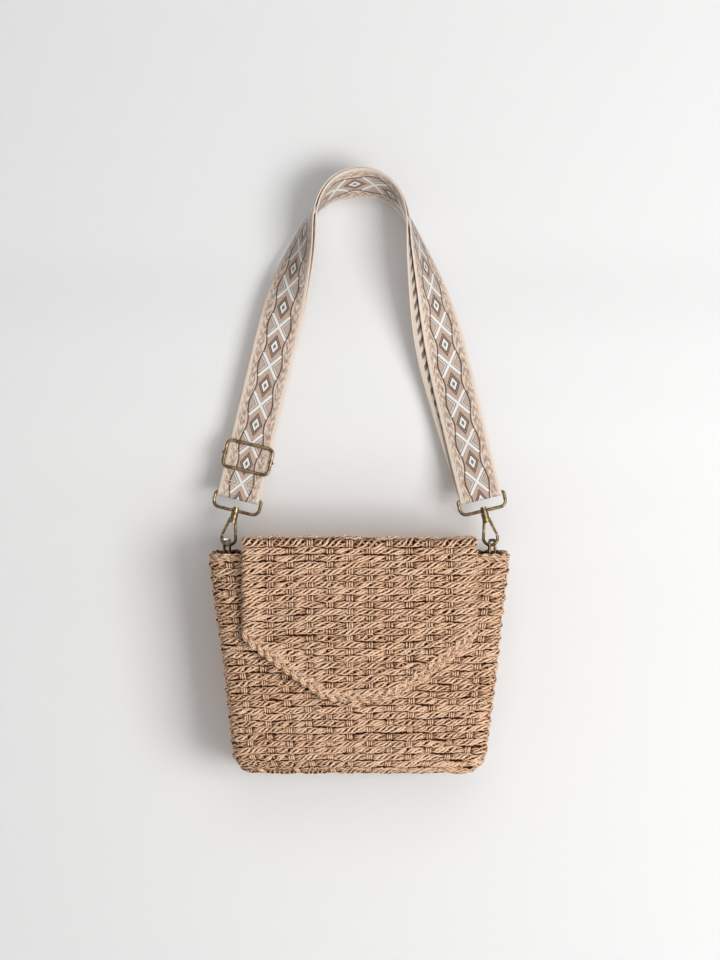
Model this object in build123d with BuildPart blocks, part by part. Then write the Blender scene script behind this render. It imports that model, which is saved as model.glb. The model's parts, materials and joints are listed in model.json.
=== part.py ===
"""Crossbody purse: a flat woven-straw bag with a fold-over flap, hung from a patterned webbing strap.

Frame: +Z up, the front faces -Y, +X is the viewer's right, and the origin is the middle of the base.
All sizes are in millimetres. The strap is drawn as it hangs, doubled back on itself at its shortest.
"""

import os
from math import cos, pi, radians, sin, sqrt

from build123d import *

# ---- driving dimensions -------------------------------------------------------------------------
# Woven bag
BAG_TOP_WIDTH = 267.0
BAG_BASE_WIDTH = 221.0
BAG_HEIGHT = 196.0
BAG_DEPTH = 68.0
BASE_CORNER_RADIUS = 18.0
WALL = 6.0  # thickness of the straw weave
RIM_BRAID = 8.0  # height and width of the plaited rim
LINING_THICKNESS = 0.8
LINING_GAP = 1.2  # room between weave and lining for the snap's washer

# Flap
FLAP_WIDTH = 208.0
FLAP_THICKNESS = 5.0
FLAP_TOP_HEIGHT = 209.0
FLAP_SHOULDER_HEIGHT = 126.0  # where the straight sides end
FLAP_TIP_HEIGHT = 64.0
FLAP_TIP_WIDTH = 62.0
FLAP_CORNER_RADIUS = 9.0
FLAP_BRAID = 9.0  # width of the plaited border
FLAP_STAND_OFF = 5.4  # from the bag's front to the back of the flap's weave

# Magnetic snap
SNAP_RADIUS = 9.0
SNAP_HEIGHT = 92.0
SNAP_HALF_THICKNESS = 2.1

# Strap webbing
WEBBING_WIDTH = 38.0
WEBBING_THICKNESS = 1.4
LEG_LEAN = 13.5  # degrees from upright
CROWN_RADIUS = 51.3
CROWN_HEIGHT = 477.3  # centre of the crown's arc
CROWN_TWIST = 130.0  # how far the webbing turns from the legs to the crown, in degrees
TWIST_RUN = {-1: 165.0, 1: 210.0}  # length over which each leg untwists
LAYER_HALF_GAP = 1.3  # from the strap's middle to each layer's middle

# Snap hooks and rings
HOOK_X = 119.0
HOOK_Z = 202.5  # middle of the hook's wire at the bottom of its bow
HOOK_WIRE = 2.8
RING_WIRE = 3.0
RING_WIDTH = 42.0  # between wire middles
RING_DEPTH = 13.0
RING_BAR_HEIGHT = 31.6  # lower bar above the hook's bow, along the stem
DRING_WIRE = 2.6
DRING_WIDTH = 16.8
DRING_HEIGHT = 16.6
DRING_TOP_CORNER = 3.2
DRING_BASE_Z = 190.3
DRING_TURN = 20.0  # turned about the vertical, in degrees

# Slider
SLIDER_WIDTH = 42.0
SLIDER_HEIGHT = 24.0
SLIDER_WIRE = 3.0
SLIDER_BAR_RADIUS = 1.2
PIN_INNER = SLIDER_WIDTH / 2  # the bar's rivets start inside the frame's short sides
PIN_OUTER = SLIDER_WIDTH / 2 + 2.6  # and their heads end outside them
SLIDER_STATION = 80.7  # along the left leg, from the hook's bow

RUNNING_CLEARANCE = 0.05
FIT_GAP = 0.3  # between pieces that pass each other

# ---- derived places -----------------------------------------------------------------------------
WALL_TOP = BAG_HEIGHT - RIM_BRAID
SLANT = (BAG_TOP_WIDTH - BAG_BASE_WIDTH) / 2 / BAG_HEIGHT
INNER_DEPTH = BAG_DEPTH - 2 * WALL
RING_TOP_BAR = RING_BAR_HEIGHT + RING_DEPTH
WRAP_RADIUS = RING_WIRE / 2 + FIT_GAP + WEBBING_THICKNESS / 2  # webbing's middle round a ring's bar
LEAN = radians(LEG_LEAN)
CROWN_HALF_TURN = pi / 2 - LEAN
FLAP_FRONT_Y = BAG_DEPTH / 2 + FLAP_STAND_OFF
FLAP_REAR_Y = BAG_DEPTH / 2
FLAP_UNDERSIDE = FLAP_TOP_HEIGHT - FLAP_THICKNESS
FLAP_FOLD_HEIGHT = FLAP_UNDERSIDE - 1.1
REAR_HINGE_HEIGHT = BAG_HEIGHT + 1.8
BAR_Y = 1.3  # middle of the slider's centre bar
FRAME_Y = -5.0  # middle of the slider's frame
BACK_LAYER_Y = 3.4  # back layer beside the slider

os.makedirs("parts", exist_ok=True)


def save(builder, name):
    """Labels a finished piece and writes it."""
    builder.part.label = name
    export_step(builder.part, f"parts/{name}.step")


def half_width(height):
    """Half the bag's width at a height."""
    return BAG_BASE_WIDTH / 2 + SLANT * height


def bag_outline(inset, top=WALL_TOP, mode=Mode.ADD):
    """Adds the bag's front outline, drawn in by an inset, to the sketch in hand."""
    low = half_width(inset) - inset
    high = half_width(top) - inset
    with BuildLine() as outline:
        FilletPolyline(
            (-high, top), (-low, inset), (low, inset), (high, top), radius=BASE_CORNER_RADIUS - inset
        )
        Line((high, top), (-high, top))
    make_face(outline.edges(), mode=mode)


def flap_outline(inset, mode=Mode.ADD):
    """Adds the hanging part of the flap, from its fold to its blunt tip, to the sketch in hand."""
    side = FLAP_WIDTH / 2 - inset
    tip = FLAP_TIP_WIDTH / 2 - inset * 0.35
    shoulder = FLAP_SHOULDER_HEIGHT + inset * 0.5
    bottom = FLAP_TIP_HEIGHT + inset
    top = FLAP_FOLD_HEIGHT - FIT_GAP
    with BuildLine() as outline:
        FilletPolyline(
            (-side, top),
            (-side, shoulder),
            (-tip, bottom),
            (tip, bottom),
            (side, shoulder),
            (side, top),
            radius=FLAP_CORNER_RADIUS,
        )
        Line((side, top), (-side, top))
    make_face(outline.edges(), mode=mode)


def flap_top_section(thickness, lift, mode=Mode.ADD):
    """Adds the flap's section over the mouth, in Y and Z: up from the back rim, then forward to the fold."""
    rear = FLAP_REAR_Y - lift
    under = FLAP_TOP_HEIGHT - lift - thickness
    front = -FLAP_FRONT_Y - FLAP_THICKNESS + lift
    with BuildLine() as section:
        Polyline(
            (rear, REAR_HINGE_HEIGHT + FIT_GAP),
            (rear, FLAP_TOP_HEIGHT - lift - 5),
            (rear - 6, FLAP_TOP_HEIGHT - lift),
            (front + 5, FLAP_TOP_HEIGHT - lift),
            (front, FLAP_TOP_HEIGHT - lift - 3.5),
            (front, FLAP_FOLD_HEIGHT + FIT_GAP),
            (front + thickness, FLAP_FOLD_HEIGHT + FIT_GAP),
            (front + thickness, under),
            (rear - thickness - 2, under),
            (rear - thickness, under - 1.5),
            (rear - thickness, REAR_HINGE_HEIGHT + FIT_GAP),
            close=True,
        )
    make_face(section.edges(), mode=mode)


# ---- woven walls --------------------------------------------------------------------------------
for panel_name, panel_y in (("front_panel", -BAG_DEPTH / 2 + WALL), ("back_panel", BAG_DEPTH / 2)):
    with BuildPart() as panel:
        with BuildSketch(Plane.XZ.offset(-panel_y)):
            bag_outline(0)
        extrude(amount=WALL)
    save(panel, panel_name)

BASE_HALF = BAG_BASE_WIDTH / 2 - BASE_CORNER_RADIUS
BAND_SPANS = {
    "gusset_left": (-BAG_TOP_WIDTH, -BASE_HALF),
    "base_panel": (-BASE_HALF, BASE_HALF),
    "gusset_right": (BASE_HALF, BAG_TOP_WIDTH),
}
for band_name, (low_x, high_x) in BAND_SPANS.items():
    with BuildPart() as band:
        with BuildSketch(Plane.XZ.offset(-INNER_DEPTH / 2)):
            bag_outline(0)
            bag_outline(WALL, mode=Mode.SUBTRACT)
            with Locations(((low_x + high_x) / 2, BAG_HEIGHT / 2)):
                Rectangle(high_x - low_x, 2 * BAG_HEIGHT, mode=Mode.INTERSECT)
        extrude(amount=INNER_DEPTH)
    save(band, band_name)

with BuildPart() as mouth_braid:
    with BuildSketch(Plane.XY.offset(WALL_TOP)):
        RectangleRounded(2 * half_width(WALL_TOP), BAG_DEPTH, RIM_BRAID)
        RectangleRounded(
            2 * half_width(WALL_TOP) - 2 * RIM_BRAID, BAG_DEPTH - 2 * RIM_BRAID, 2, mode=Mode.SUBTRACT
        )
    extrude(amount=RIM_BRAID)
    fillet(mouth_braid.faces().sort_by(Axis.Z)[-1].edges(), radius=2)
save(mouth_braid, "mouth_braid")

# ---- lining and pocket --------------------------------------------------------------------------
LINING_INSET = WALL + LINING_GAP
LINING_DEPTH = INNER_DEPTH - 2 * LINING_GAP
with BuildPart() as lining:
    with BuildSketch(Plane.XZ.offset(-LINING_DEPTH / 2)):
        bag_outline(LINING_INSET)
    extrude(amount=LINING_DEPTH)
    with BuildSketch(Plane.XZ.offset(-LINING_DEPTH / 2 + LINING_THICKNESS)):
        bag_outline(LINING_INSET + LINING_THICKNESS, mode=Mode.ADD)
    extrude(amount=LINING_DEPTH - 2 * LINING_THICKNESS, mode=Mode.SUBTRACT)
save(lining, "lining")

POCKET_WIDTH = 140.0
POCKET_HEIGHT = 95.0
POCKET_TOP = 165.0
with BuildPart() as slip_pocket:
    with BuildSketch(Plane.XZ.offset(-LINING_DEPTH / 2 + LINING_THICKNESS + 0.2)):
        with Locations((0, POCKET_TOP - POCKET_HEIGHT / 2)):
            RectangleRounded(POCKET_WIDTH, POCKET_HEIGHT, 6)
    extrude(amount=1.0)
save(slip_pocket, "slip_pocket")

# ---- flap ---------------------------------------------------------------------------------------
INNER_FLAP = FLAP_WIDTH - 2 * FLAP_BRAID
with BuildPart() as flap_top:
    with BuildSketch(Plane.YZ.offset(-INNER_FLAP / 2)):
        flap_top_section(FLAP_THICKNESS, 0)
    extrude(amount=INNER_FLAP)
save(flap_top, "flap_top")

with BuildPart() as flap_top_braid:
    for edge_x in (-FLAP_WIDTH / 2, INNER_FLAP / 2):
        with BuildSketch(Plane.YZ.offset(edge_x)):
            flap_top_section(FLAP_THICKNESS, 0)
        extrude(amount=FLAP_BRAID)
save(flap_top_braid, "flap_top_braid")

with BuildPart() as flap_top_lining:
    with BuildSketch(Plane.YZ.offset(-INNER_FLAP / 2)):
        with BuildLine():
            Polyline(
                (FLAP_REAR_Y - FLAP_THICKNESS - 3, FLAP_UNDERSIDE),
                (-FLAP_FRONT_Y, FLAP_UNDERSIDE),
                (-FLAP_FRONT_Y, FLAP_UNDERSIDE - LINING_THICKNESS),
                (FLAP_REAR_Y - FLAP_THICKNESS - 3, FLAP_UNDERSIDE - LINING_THICKNESS),
                close=True,
            )
        make_face()
    extrude(amount=INNER_FLAP)
save(flap_top_lining, "flap_top_lining")

with BuildPart() as flap_front:
    with BuildSketch(Plane.XZ.offset(FLAP_FRONT_Y)):
        flap_outline(FLAP_BRAID)
    extrude(amount=FLAP_THICKNESS)
save(flap_front, "flap_front")

with BuildPart() as flap_front_braid:
    with BuildSketch(Plane.XZ.offset(FLAP_FRONT_Y)):
        flap_outline(0)
        flap_outline(FLAP_BRAID, mode=Mode.SUBTRACT)
    extrude(amount=FLAP_THICKNESS)
save(flap_front_braid, "flap_front_braid")

with BuildPart() as flap_front_lining:
    with BuildSketch(Plane.XZ.offset(FLAP_FRONT_Y - LINING_THICKNESS)):
        flap_outline(FLAP_BRAID / 2)
    extrude(amount=LINING_THICKNESS)
save(flap_front_lining, "flap_front_lining")

# ---- magnetic snap ------------------------------------------------------------------------------
SOCKET_BORE = 4.0
BOSS_RADIUS = 2.4
BOSS_LENGTH = 1.4
WASHER_THICKNESS = 0.8
WASHER_RADIUS = 7.0
with BuildPart() as snap_socket:
    with BuildSketch(Plane.XZ.offset(BAG_DEPTH / 2)):
        with Locations((0, SNAP_HEIGHT)):
            Circle(SNAP_RADIUS)
            Circle(SOCKET_BORE, mode=Mode.SUBTRACT)
    extrude(amount=SNAP_HALF_THICKNESS)
save(snap_socket, "snap_socket")

with BuildPart() as snap_socket_washer:
    with BuildSketch(Plane.XZ.offset(INNER_DEPTH / 2 - WASHER_THICKNESS)):
        with Locations((0, SNAP_HEIGHT)):
            Circle(WASHER_RADIUS)
    extrude(amount=WASHER_THICKNESS)
save(snap_socket_washer, "snap_socket_washer")

PLUG_BACK = FLAP_FRONT_Y - LINING_THICKNESS
with BuildPart() as snap_plug:
    with BuildSketch(Plane.XZ.offset(PLUG_BACK - SNAP_HALF_THICKNESS)):
        with Locations((0, SNAP_HEIGHT)):
            Circle(SNAP_RADIUS)
    extrude(amount=SNAP_HALF_THICKNESS)
    with BuildSketch(Plane.XZ.offset(PLUG_BACK - SNAP_HALF_THICKNESS - BOSS_LENGTH)):
        with Locations((0, SNAP_HEIGHT)):
            Circle(BOSS_RADIUS)
    extrude(amount=BOSS_LENGTH)
save(snap_plug, "snap_plug")

# ---- rings, hooks and D-rings -------------------------------------------------------------------
STEM_TOP = RING_BAR_HEIGHT - 2.0  # top of the hook's head
HEAD_RADIUS = 3.4
HEAD_HEIGHT = 9.0
SLOT_WIDTH = 2.6
GATE_WIDTH = 2.0
GATE_PIVOT = (2.4, 23.2)
GATE_PIN_RADIUS = 0.8
GATE_EYE_RADIUS = 1.9
BOW_SIDE = 6.2
BOW_SHOULDER = 7.5
POST_RADIUS = 1.8
BOSS_HALF_HEIGHT = 1.7


def hook_plane(side):
    """Plane of a hook and its ring: X across, Y up the stem, normal towards the viewer."""
    return Plane(
        origin=(side * HOOK_X, 0, HOOK_Z), x_dir=(cos(LEAN), 0, side * sin(LEAN)), z_dir=(0, -1, 0)
    )


def stem_plane(side, station, lift=0.0):
    """Plane square to a stem, at a distance up it."""
    flat = hook_plane(side)
    return Plane(origin=flat.from_local_coords((0, station, lift)), x_dir=flat.x_dir, z_dir=flat.y_dir)


def ring_half(path_plane, width, height, corners, wire, base=0.0):
    """Sweeps half of a wire ring round from its lower bar to its upper bar, then mirrors it."""
    with BuildLine(path_plane) as path:
        FilletPolyline(
            (0, base), (width / 2, base), (width / 2, base + height), (0, base + height), radius=corners
        )
    start = Plane(
        origin=path_plane.from_local_coords((0, base, 0)), x_dir=path_plane.z_dir, z_dir=path_plane.x_dir
    )
    with BuildSketch(start) as section:
        Circle(wire / 2)
    sweep(section.sketch, path=path.wires()[0])
    mirror(about=start)


for side, side_name in ((-1, "left"), (1, "right")):
    flat = hook_plane(side)

    with BuildPart() as strap_ring:
        ring_half(flat, RING_WIDTH, RING_DEPTH, [6.0, 1.9], RING_WIRE, base=RING_BAR_HEIGHT)
        with BuildSketch(stem_plane(side, RING_BAR_HEIGHT - BOSS_HALF_HEIGHT)):
            Circle(HEAD_RADIUS)
        extrude(amount=2 * BOSS_HALF_HEIGHT)
        with BuildSketch(stem_plane(side, RING_BAR_HEIGHT - 2 * BOSS_HALF_HEIGHT)):
            Circle(POST_RADIUS + RUNNING_CLEARANCE)
        extrude(amount=4 * BOSS_HALF_HEIGHT, mode=Mode.SUBTRACT)
    save(strap_ring, f"strap_ring_{side_name}")

    with BuildPart() as swivel_post:
        with BuildSketch(stem_plane(side, STEM_TOP - 3.0)):
            Circle(POST_RADIUS)
        extrude(amount=3.0 + 0.3 + 2 * BOSS_HALF_HEIGHT + 0.3)
        with BuildSketch(stem_plane(side, STEM_TOP + 0.6 + 2 * BOSS_HALF_HEIGHT)):
            Circle(2.7)
        extrude(amount=1.4)
    save(swivel_post, f"swivel_post_{side_name}")

    with BuildPart() as snap_hook:
        with BuildLine(flat) as bow:
            Line((-side * 2.0, STEM_TOP - HEAD_HEIGHT + 2), (-side * BOW_SIDE, BOW_SHOULDER))
            ThreePointArc((-side * BOW_SIDE, BOW_SHOULDER), (0, 0), (side * BOW_SIDE, BOW_SHOULDER))
        with BuildSketch(Plane(bow.wires()[0] @ 1, z_dir=bow.wires()[0] % 1)):
            Circle(HOOK_WIRE / 2)
        sweep(path=bow.wires()[0])
        with BuildSketch(stem_plane(side, STEM_TOP - HEAD_HEIGHT)):
            Circle(HEAD_RADIUS)
        extrude(amount=HEAD_HEIGHT)
        with BuildSketch(flat.offset(-SLOT_WIDTH / 2)):
            with Locations((side * (GATE_PIVOT[0] + 1.9), GATE_PIVOT[1] - 1.5)):
                Rectangle(8.0, 8.0)
        extrude(amount=SLOT_WIDTH, mode=Mode.SUBTRACT)
        with BuildSketch(flat.offset(-HEAD_RADIUS)):
            with Locations((side * GATE_PIVOT[0], GATE_PIVOT[1])):
                Circle(GATE_PIN_RADIUS)
        extrude(amount=2 * HEAD_RADIUS, mode=Mode.SUBTRACT)
        with BuildSketch(stem_plane(side, STEM_TOP - 3.0)):
            Circle(POST_RADIUS)
        extrude(amount=4.0, mode=Mode.SUBTRACT)
    save(snap_hook, f"snap_hook_{side_name}")

    with BuildPart() as snap_gate:
        with BuildSketch(flat.offset(-GATE_WIDTH / 2)):
            with Locations((side * GATE_PIVOT[0], GATE_PIVOT[1])):
                Circle(GATE_EYE_RADIUS)
            with BuildLine():
                Polyline(
                    (side * (GATE_PIVOT[0] + 1.8), GATE_PIVOT[1]),
                    (side * (BOW_SIDE + 1.3), BOW_SHOULDER + 0.7),
                    (side * (BOW_SIDE - 1.0), BOW_SHOULDER + 0.7),
                    (side * (GATE_PIVOT[0] - 0.8), GATE_PIVOT[1] - 1.2),
                    close=True,
                )
            make_face()
            with Locations((side * GATE_PIVOT[0], GATE_PIVOT[1])):
                Circle(GATE_PIN_RADIUS + RUNNING_CLEARANCE, mode=Mode.SUBTRACT)
        extrude(amount=GATE_WIDTH)
    save(snap_gate, f"snap_gate_{side_name}")

    with BuildPart() as gate_rivet:
        with BuildSketch(flat.offset(-2.3)):
            with Locations((side * GATE_PIVOT[0], GATE_PIVOT[1])):
                Circle(GATE_PIN_RADIUS)
        extrude(amount=4.6)
    save(gate_rivet, f"gate_rivet_{side_name}")

    turn = radians(DRING_TURN)
    bar_direction = (side * sin(turn), cos(turn), 0)
    ring_normal = (cos(turn), -side * sin(turn), 0)
    dring_origin = (side * HOOK_X, 0, DRING_BASE_Z)
    with BuildPart() as dring:
        ring_half(
            Plane(origin=dring_origin, x_dir=bar_direction, z_dir=ring_normal),
            DRING_WIDTH,
            DRING_HEIGHT,
            [2.6, DRING_TOP_CORNER],
            DRING_WIRE,
        )
    save(dring, f"dring_{side_name}")

    with BuildPart() as dring_tab:
        tab_plane = Plane(
            origin=dring_origin, x_dir=[-value for value in ring_normal], z_dir=bar_direction
        )
        with BuildSketch(tab_plane.offset(-5)):
            Circle(DRING_WIRE / 2 + 1.35)
            with Locations((0, -10)):
                Rectangle(2.6, 18)
            Circle(DRING_WIRE / 2 + RUNNING_CLEARANCE, mode=Mode.SUBTRACT)
        extrude(amount=10)
    save(dring_tab, f"dring_tab_{side_name}")

# ---- slider on the left leg ---------------------------------------------------------------------
left_plane = hook_plane(-1)
frame_plane = left_plane.offset(-FRAME_Y)
with BuildPart() as slider_frame:
    ring_half(
        frame_plane,
        SLIDER_WIDTH,
        SLIDER_HEIGHT,
        [4.5, 4.5],
        SLIDER_WIRE,
        base=SLIDER_STATION - SLIDER_HEIGHT / 2,
    )
save(slider_frame, "slider_frame")

with BuildPart() as slider_bar:
    bar_ends = [
        left_plane.from_local_coords((end * SLIDER_WIDTH / 2, SLIDER_STATION, -BAR_Y)) for end in (-1, 1)
    ]
    with BuildSketch(Plane(origin=bar_ends[0], x_dir=(0, 1, 0), z_dir=left_plane.x_dir)):
        Circle(SLIDER_BAR_RADIUS)
    extrude(amount=SLIDER_WIDTH)
    for bar_end in bar_ends:
        with BuildSketch(Plane(origin=bar_end, x_dir=left_plane.x_dir, z_dir=(0, -1, 0))):
            Circle(SLIDER_BAR_RADIUS)
        extrude(amount=BAR_Y - FRAME_Y)
    for end in (-1, 1):
        pin_start = left_plane.from_local_coords((end * PIN_INNER, SLIDER_STATION, -FRAME_Y))
        with BuildSketch(
            Plane(origin=pin_start, x_dir=(0, 1, 0), z_dir=Vector(left_plane.x_dir) * end)
        ):
            Circle(SLIDER_BAR_RADIUS)
        extrude(amount=PIN_OUTER - PIN_INNER)
save(slider_bar, "slider_bar")

# ---- webbing ------------------------------------------------------------------------------------
LEG_LENGTH = (
    (CROWN_HEIGHT - HOOK_Z) * cos(LEAN) + HOOK_X * sin(LEAN)
)  # from the hook's bow to the start of the crown's arc


def strap_station(station, side):
    """Middle of the strap, its direction of travel and its outward direction, up one leg and over the crown.

    The station is the distance from the hook's bow, and past the leg's end it runs on round the crown's arc.
    """
    over = station - LEG_LENGTH
    if over <= 0:
        point = Vector(side * HOOK_X, 0, HOOK_Z) + Vector(-side * sin(LEAN), 0, cos(LEAN)) * station
        return point, Vector(-side * sin(LEAN), 0, cos(LEAN)), Vector(side * cos(LEAN), 0, sin(LEAN))
    angle = LEAN + over / CROWN_RADIUS
    outward = Vector(side * cos(angle), 0, sin(angle))
    point = Vector(0, 0, CROWN_HEIGHT) + outward * CROWN_RADIUS
    return point, Vector(-side * sin(angle), 0, cos(angle)), outward


CROWN_STATION = LEG_LENGTH + CROWN_RADIUS * CROWN_HALF_TURN


def twist(station, side):
    """Angle, in radians, by which the webbing's front face has turned from the viewer to the outside."""
    from_crown = CROWN_STATION - station
    eased = sqrt(from_crown**2 + 144) - 12
    left_over = max(0.0, 1 - eased / TWIST_RUN[side])
    return radians(CROWN_TWIST) * left_over**1.25


def ease(value, low, high):
    """Smooth step from 0 at low to 1 at high."""
    t = min(1.0, max(0.0, (value - low) / (high - low)))
    return t * t * (3 - 2 * t)


def layer_offset(station, side, front):
    """How far a layer's middle stands from the strap's middle."""
    if side < 0:
        full = WRAP_RADIUS if front else BACK_LAYER_Y
        apart = full + (LAYER_HALF_GAP - full) * ease(station, 145, 205)
    else:
        apart = WRAP_RADIUS + (LAYER_HALF_GAP - WRAP_RADIUS) * ease(station, RING_TOP_BAR, 115)
    return apart if front else -apart


BACK_LAYER_DRIFT = 8.0  # the back layer lies this far inside the front one, half-way up the right leg


def section_plane(station, side, front):
    """Plane square to the webbing at a station on one of its layers, facing up the leg."""
    point, travel, outward = strap_station(station, side)
    angle = twist(station, side)
    face = Vector(0, -1, 0) * cos(angle) + outward * sin(angle)
    across = face.cross(travel)
    place = point + face * layer_offset(station, side, front)
    if side > 0 and not front:
        share = (station - RING_TOP_BAR) / (CROWN_STATION - RING_TOP_BAR)
        place += across * BACK_LAYER_DRIFT * sin(pi * share)
    return Plane(origin=place, x_dir=across, z_dir=travel)


def stations(low, high, step):
    """Evenly spaced stations from low to high."""
    count = max(1, round(abs(high - low) / step))
    return [low + (high - low) * i / count for i in range(count + 1)]

def layer_planes(side, front, low, high):
    """Sections of one layer up one leg: wide apart where it is straight, close where it twists."""
    bend = LEG_LENGTH - 75
    lower = stations(low, bend, 20)
    return [section_plane(value, side, front) for value in lower[:-1] + stations(bend, high, 7)]


def wrap_planes(side, radius=WRAP_RADIUS, station=RING_TOP_BAR, lift=0.0):
    """Sections round a bar, from its front, underneath, to its back."""
    bar = hook_plane(side)
    centre = Vector(bar.from_local_coords((0, station, lift)))
    planes = []
    for degree in (25, 60, 90, 120, 155):
        turn = radians(degree)
        away = Vector(0, -1, 0) * cos(turn) - Vector(bar.y_dir) * sin(turn)
        heading = Vector(0, 1, 0) * sin(turn) - Vector(bar.y_dir) * cos(turn)
        planes.append(Plane(origin=centre + away * radius, x_dir=bar.x_dir, z_dir=heading))
    return planes


def flipped(planes):
    """The same sections met from the other end."""
    return [Plane(origin=plane.origin, x_dir=plane.x_dir, z_dir=plane.z_dir * -1) for plane in planes]


def ribbon(planes):
    """Lofts the webbing straight from section to section."""
    sections = []
    for plane in planes:
        with BuildSketch(plane) as section:
            Rectangle(WEBBING_WIDTH, WEBBING_THICKNESS)
        sections.append(section.sketch)
    loft(sections, ruled=True)


TAIL_TOP = 60.0  # the sewn tail behind the left ring ends here
CUT_STATION = SLIDER_STATION + 32  # the back layer's last stretch, below here, goes with the slider
left_flat = hook_plane(-1)
tail_planes = [
    Plane(
        origin=left_flat.from_local_coords((0, station, -WRAP_RADIUS + (2 * WRAP_RADIUS - 1.7) * share)),
        x_dir=left_flat.x_dir,
        z_dir=left_flat.y_dir,
    )
    for station, share in ((TAIL_TOP, 1.0), (RING_TOP_BAR + 7, 0.75), (RING_TOP_BAR + 1.5, 0.05))
]
with BuildPart() as strap_webbing:
    ribbon(
        flipped(tail_planes)
        + flipped(wrap_planes(-1))[::-1]
        + layer_planes(-1, True, RING_TOP_BAR, CROWN_STATION)
        + flipped(layer_planes(1, True, RING_TOP_BAR, CROWN_STATION)[:-1])[::-1]
        + wrap_planes(1)
        + layer_planes(1, False, RING_TOP_BAR, CROWN_STATION)
        + flipped(layer_planes(-1, False, CUT_STATION, CROWN_STATION)[:-1])[::-1]
    )
save(strap_webbing, "strap_webbing")

SLIDER_WRAP = SLIDER_BAR_RADIUS + 0.2 + WEBBING_THICKNESS / 2
SEWN_TAIL = 16.0
with BuildPart() as strap_end:
    tail_stations = (SLIDER_STATION + SEWN_TAIL, SLIDER_STATION + 1.5)
    front_tail = [
        Plane(
            origin=left_flat.from_local_coords((0, station, SLIDER_WRAP - BAR_Y)),
            x_dir=left_flat.x_dir,
            z_dir=left_flat.y_dir * -1,
        )
        for station in tail_stations
    ]
    back_run = [section_plane(station, -1, False) for station in (SLIDER_STATION + 2, CUT_STATION - 0.5)]
    ribbon(front_tail + wrap_planes(-1, SLIDER_WRAP, SLIDER_STATION, -BAR_Y) + back_run)
save(strap_end, "strap_end")
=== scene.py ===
"""Crossbody purse: woven straw, patterned webbing and antique brass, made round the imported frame.

Every size is in metres, in the frame's own axes: +Z up, the front faces -Y and +X is the viewer's right.
"""

import json
import math

import bmesh
import bpy
from bpy.props import FloatProperty, FloatVectorProperty, IntProperty, PointerProperty
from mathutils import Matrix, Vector, noise


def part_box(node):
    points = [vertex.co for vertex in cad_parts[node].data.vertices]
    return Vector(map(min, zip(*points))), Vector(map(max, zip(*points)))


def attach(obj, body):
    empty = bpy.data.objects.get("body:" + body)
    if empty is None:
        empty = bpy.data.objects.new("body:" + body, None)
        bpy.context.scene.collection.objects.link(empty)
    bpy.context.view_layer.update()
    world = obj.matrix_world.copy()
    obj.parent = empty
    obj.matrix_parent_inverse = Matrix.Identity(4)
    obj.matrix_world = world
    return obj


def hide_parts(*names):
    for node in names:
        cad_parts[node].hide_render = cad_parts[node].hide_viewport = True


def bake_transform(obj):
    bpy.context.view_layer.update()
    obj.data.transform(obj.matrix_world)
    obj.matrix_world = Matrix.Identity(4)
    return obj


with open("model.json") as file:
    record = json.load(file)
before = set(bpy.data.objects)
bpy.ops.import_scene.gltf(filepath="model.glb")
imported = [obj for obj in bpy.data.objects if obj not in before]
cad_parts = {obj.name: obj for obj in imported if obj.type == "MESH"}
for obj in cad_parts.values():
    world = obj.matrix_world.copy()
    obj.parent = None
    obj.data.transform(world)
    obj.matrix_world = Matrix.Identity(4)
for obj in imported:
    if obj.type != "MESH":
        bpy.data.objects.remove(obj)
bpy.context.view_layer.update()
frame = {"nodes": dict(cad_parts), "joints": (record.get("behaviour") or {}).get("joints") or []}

bl_info = {
    "name": "Crossbody Purse Maker",
    "version": (1, 0, 0),
    "blender": (4, 5, 0),
    "location": "View3D > Sidebar > Purse",
    "description": "Makes a woven straw purse with a patterned strap round its packed frame",
    "category": "Object",
}

MM = 0.001
JOINTS = {joint["name"]: joint for joint in frame["joints"]}
SIDES = {"left": -1, "right": 1}


# ---- places read from the frame ------------------------------------------------------------------
def joint_place(name):
    """Where a joint turns, as a vector."""
    return Vector(JOINTS[name]["pos_m"])


WALL_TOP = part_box("front_panel")[1].z
RIM_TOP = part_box("mouth_braid")[1].z
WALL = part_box("base_panel")[1].z
CORNER = 18 * MM  # radius of the bag's bottom corners
TOP_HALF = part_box("front_panel")[1].x - 1.6 * MM
BASE_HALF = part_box("base_panel")[1].x + CORNER - WALL / 2
HALF_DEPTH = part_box("back_panel")[1].y - WALL / 2
FLAP_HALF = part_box("flap_front_braid")[1].x
FLAP_Y = (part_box("flap_front")[0].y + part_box("flap_front")[1].y) / 2
FLAP_TOP_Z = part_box("flap_top")[1].z - 2.5 * MM
FLAP_TIP_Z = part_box("flap_front_braid")[0].z
FLAP_SHOULDER_Z = 126 * MM
FLAP_TIP_HALF = 31 * MM
SNAP_MIDDLE = sum(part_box("snap_socket"), Vector()) / 2
SNAP_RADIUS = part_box("snap_socket")[1].x - SNAP_MIDDLE.x
REAR_HINGE = joint_place("flap_lift")
FOLD_HINGE = joint_place("flap_fold")
HOOK_X = joint_place("dring_right_tilt").x
HOOK_Z = joint_place("bag_swing").z
STEM = Vector(JOINTS["hook_right_swivel"]["axis"])
LEAN = math.atan2(-STEM.x, STEM.z)


# ---- settings ------------------------------------------------------------------------------------
def length(name, description, default):
    """A length property with a lower limit of nothing."""
    return FloatProperty(name=name, description=description, default=default, min=0.0, unit="LENGTH")


def colour(name, description, default):
    """A colour property."""
    return FloatVectorProperty(
        name=name, description=description, default=default, size=3, min=0.0, max=1.0, subtype="COLOR"
    )


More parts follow.
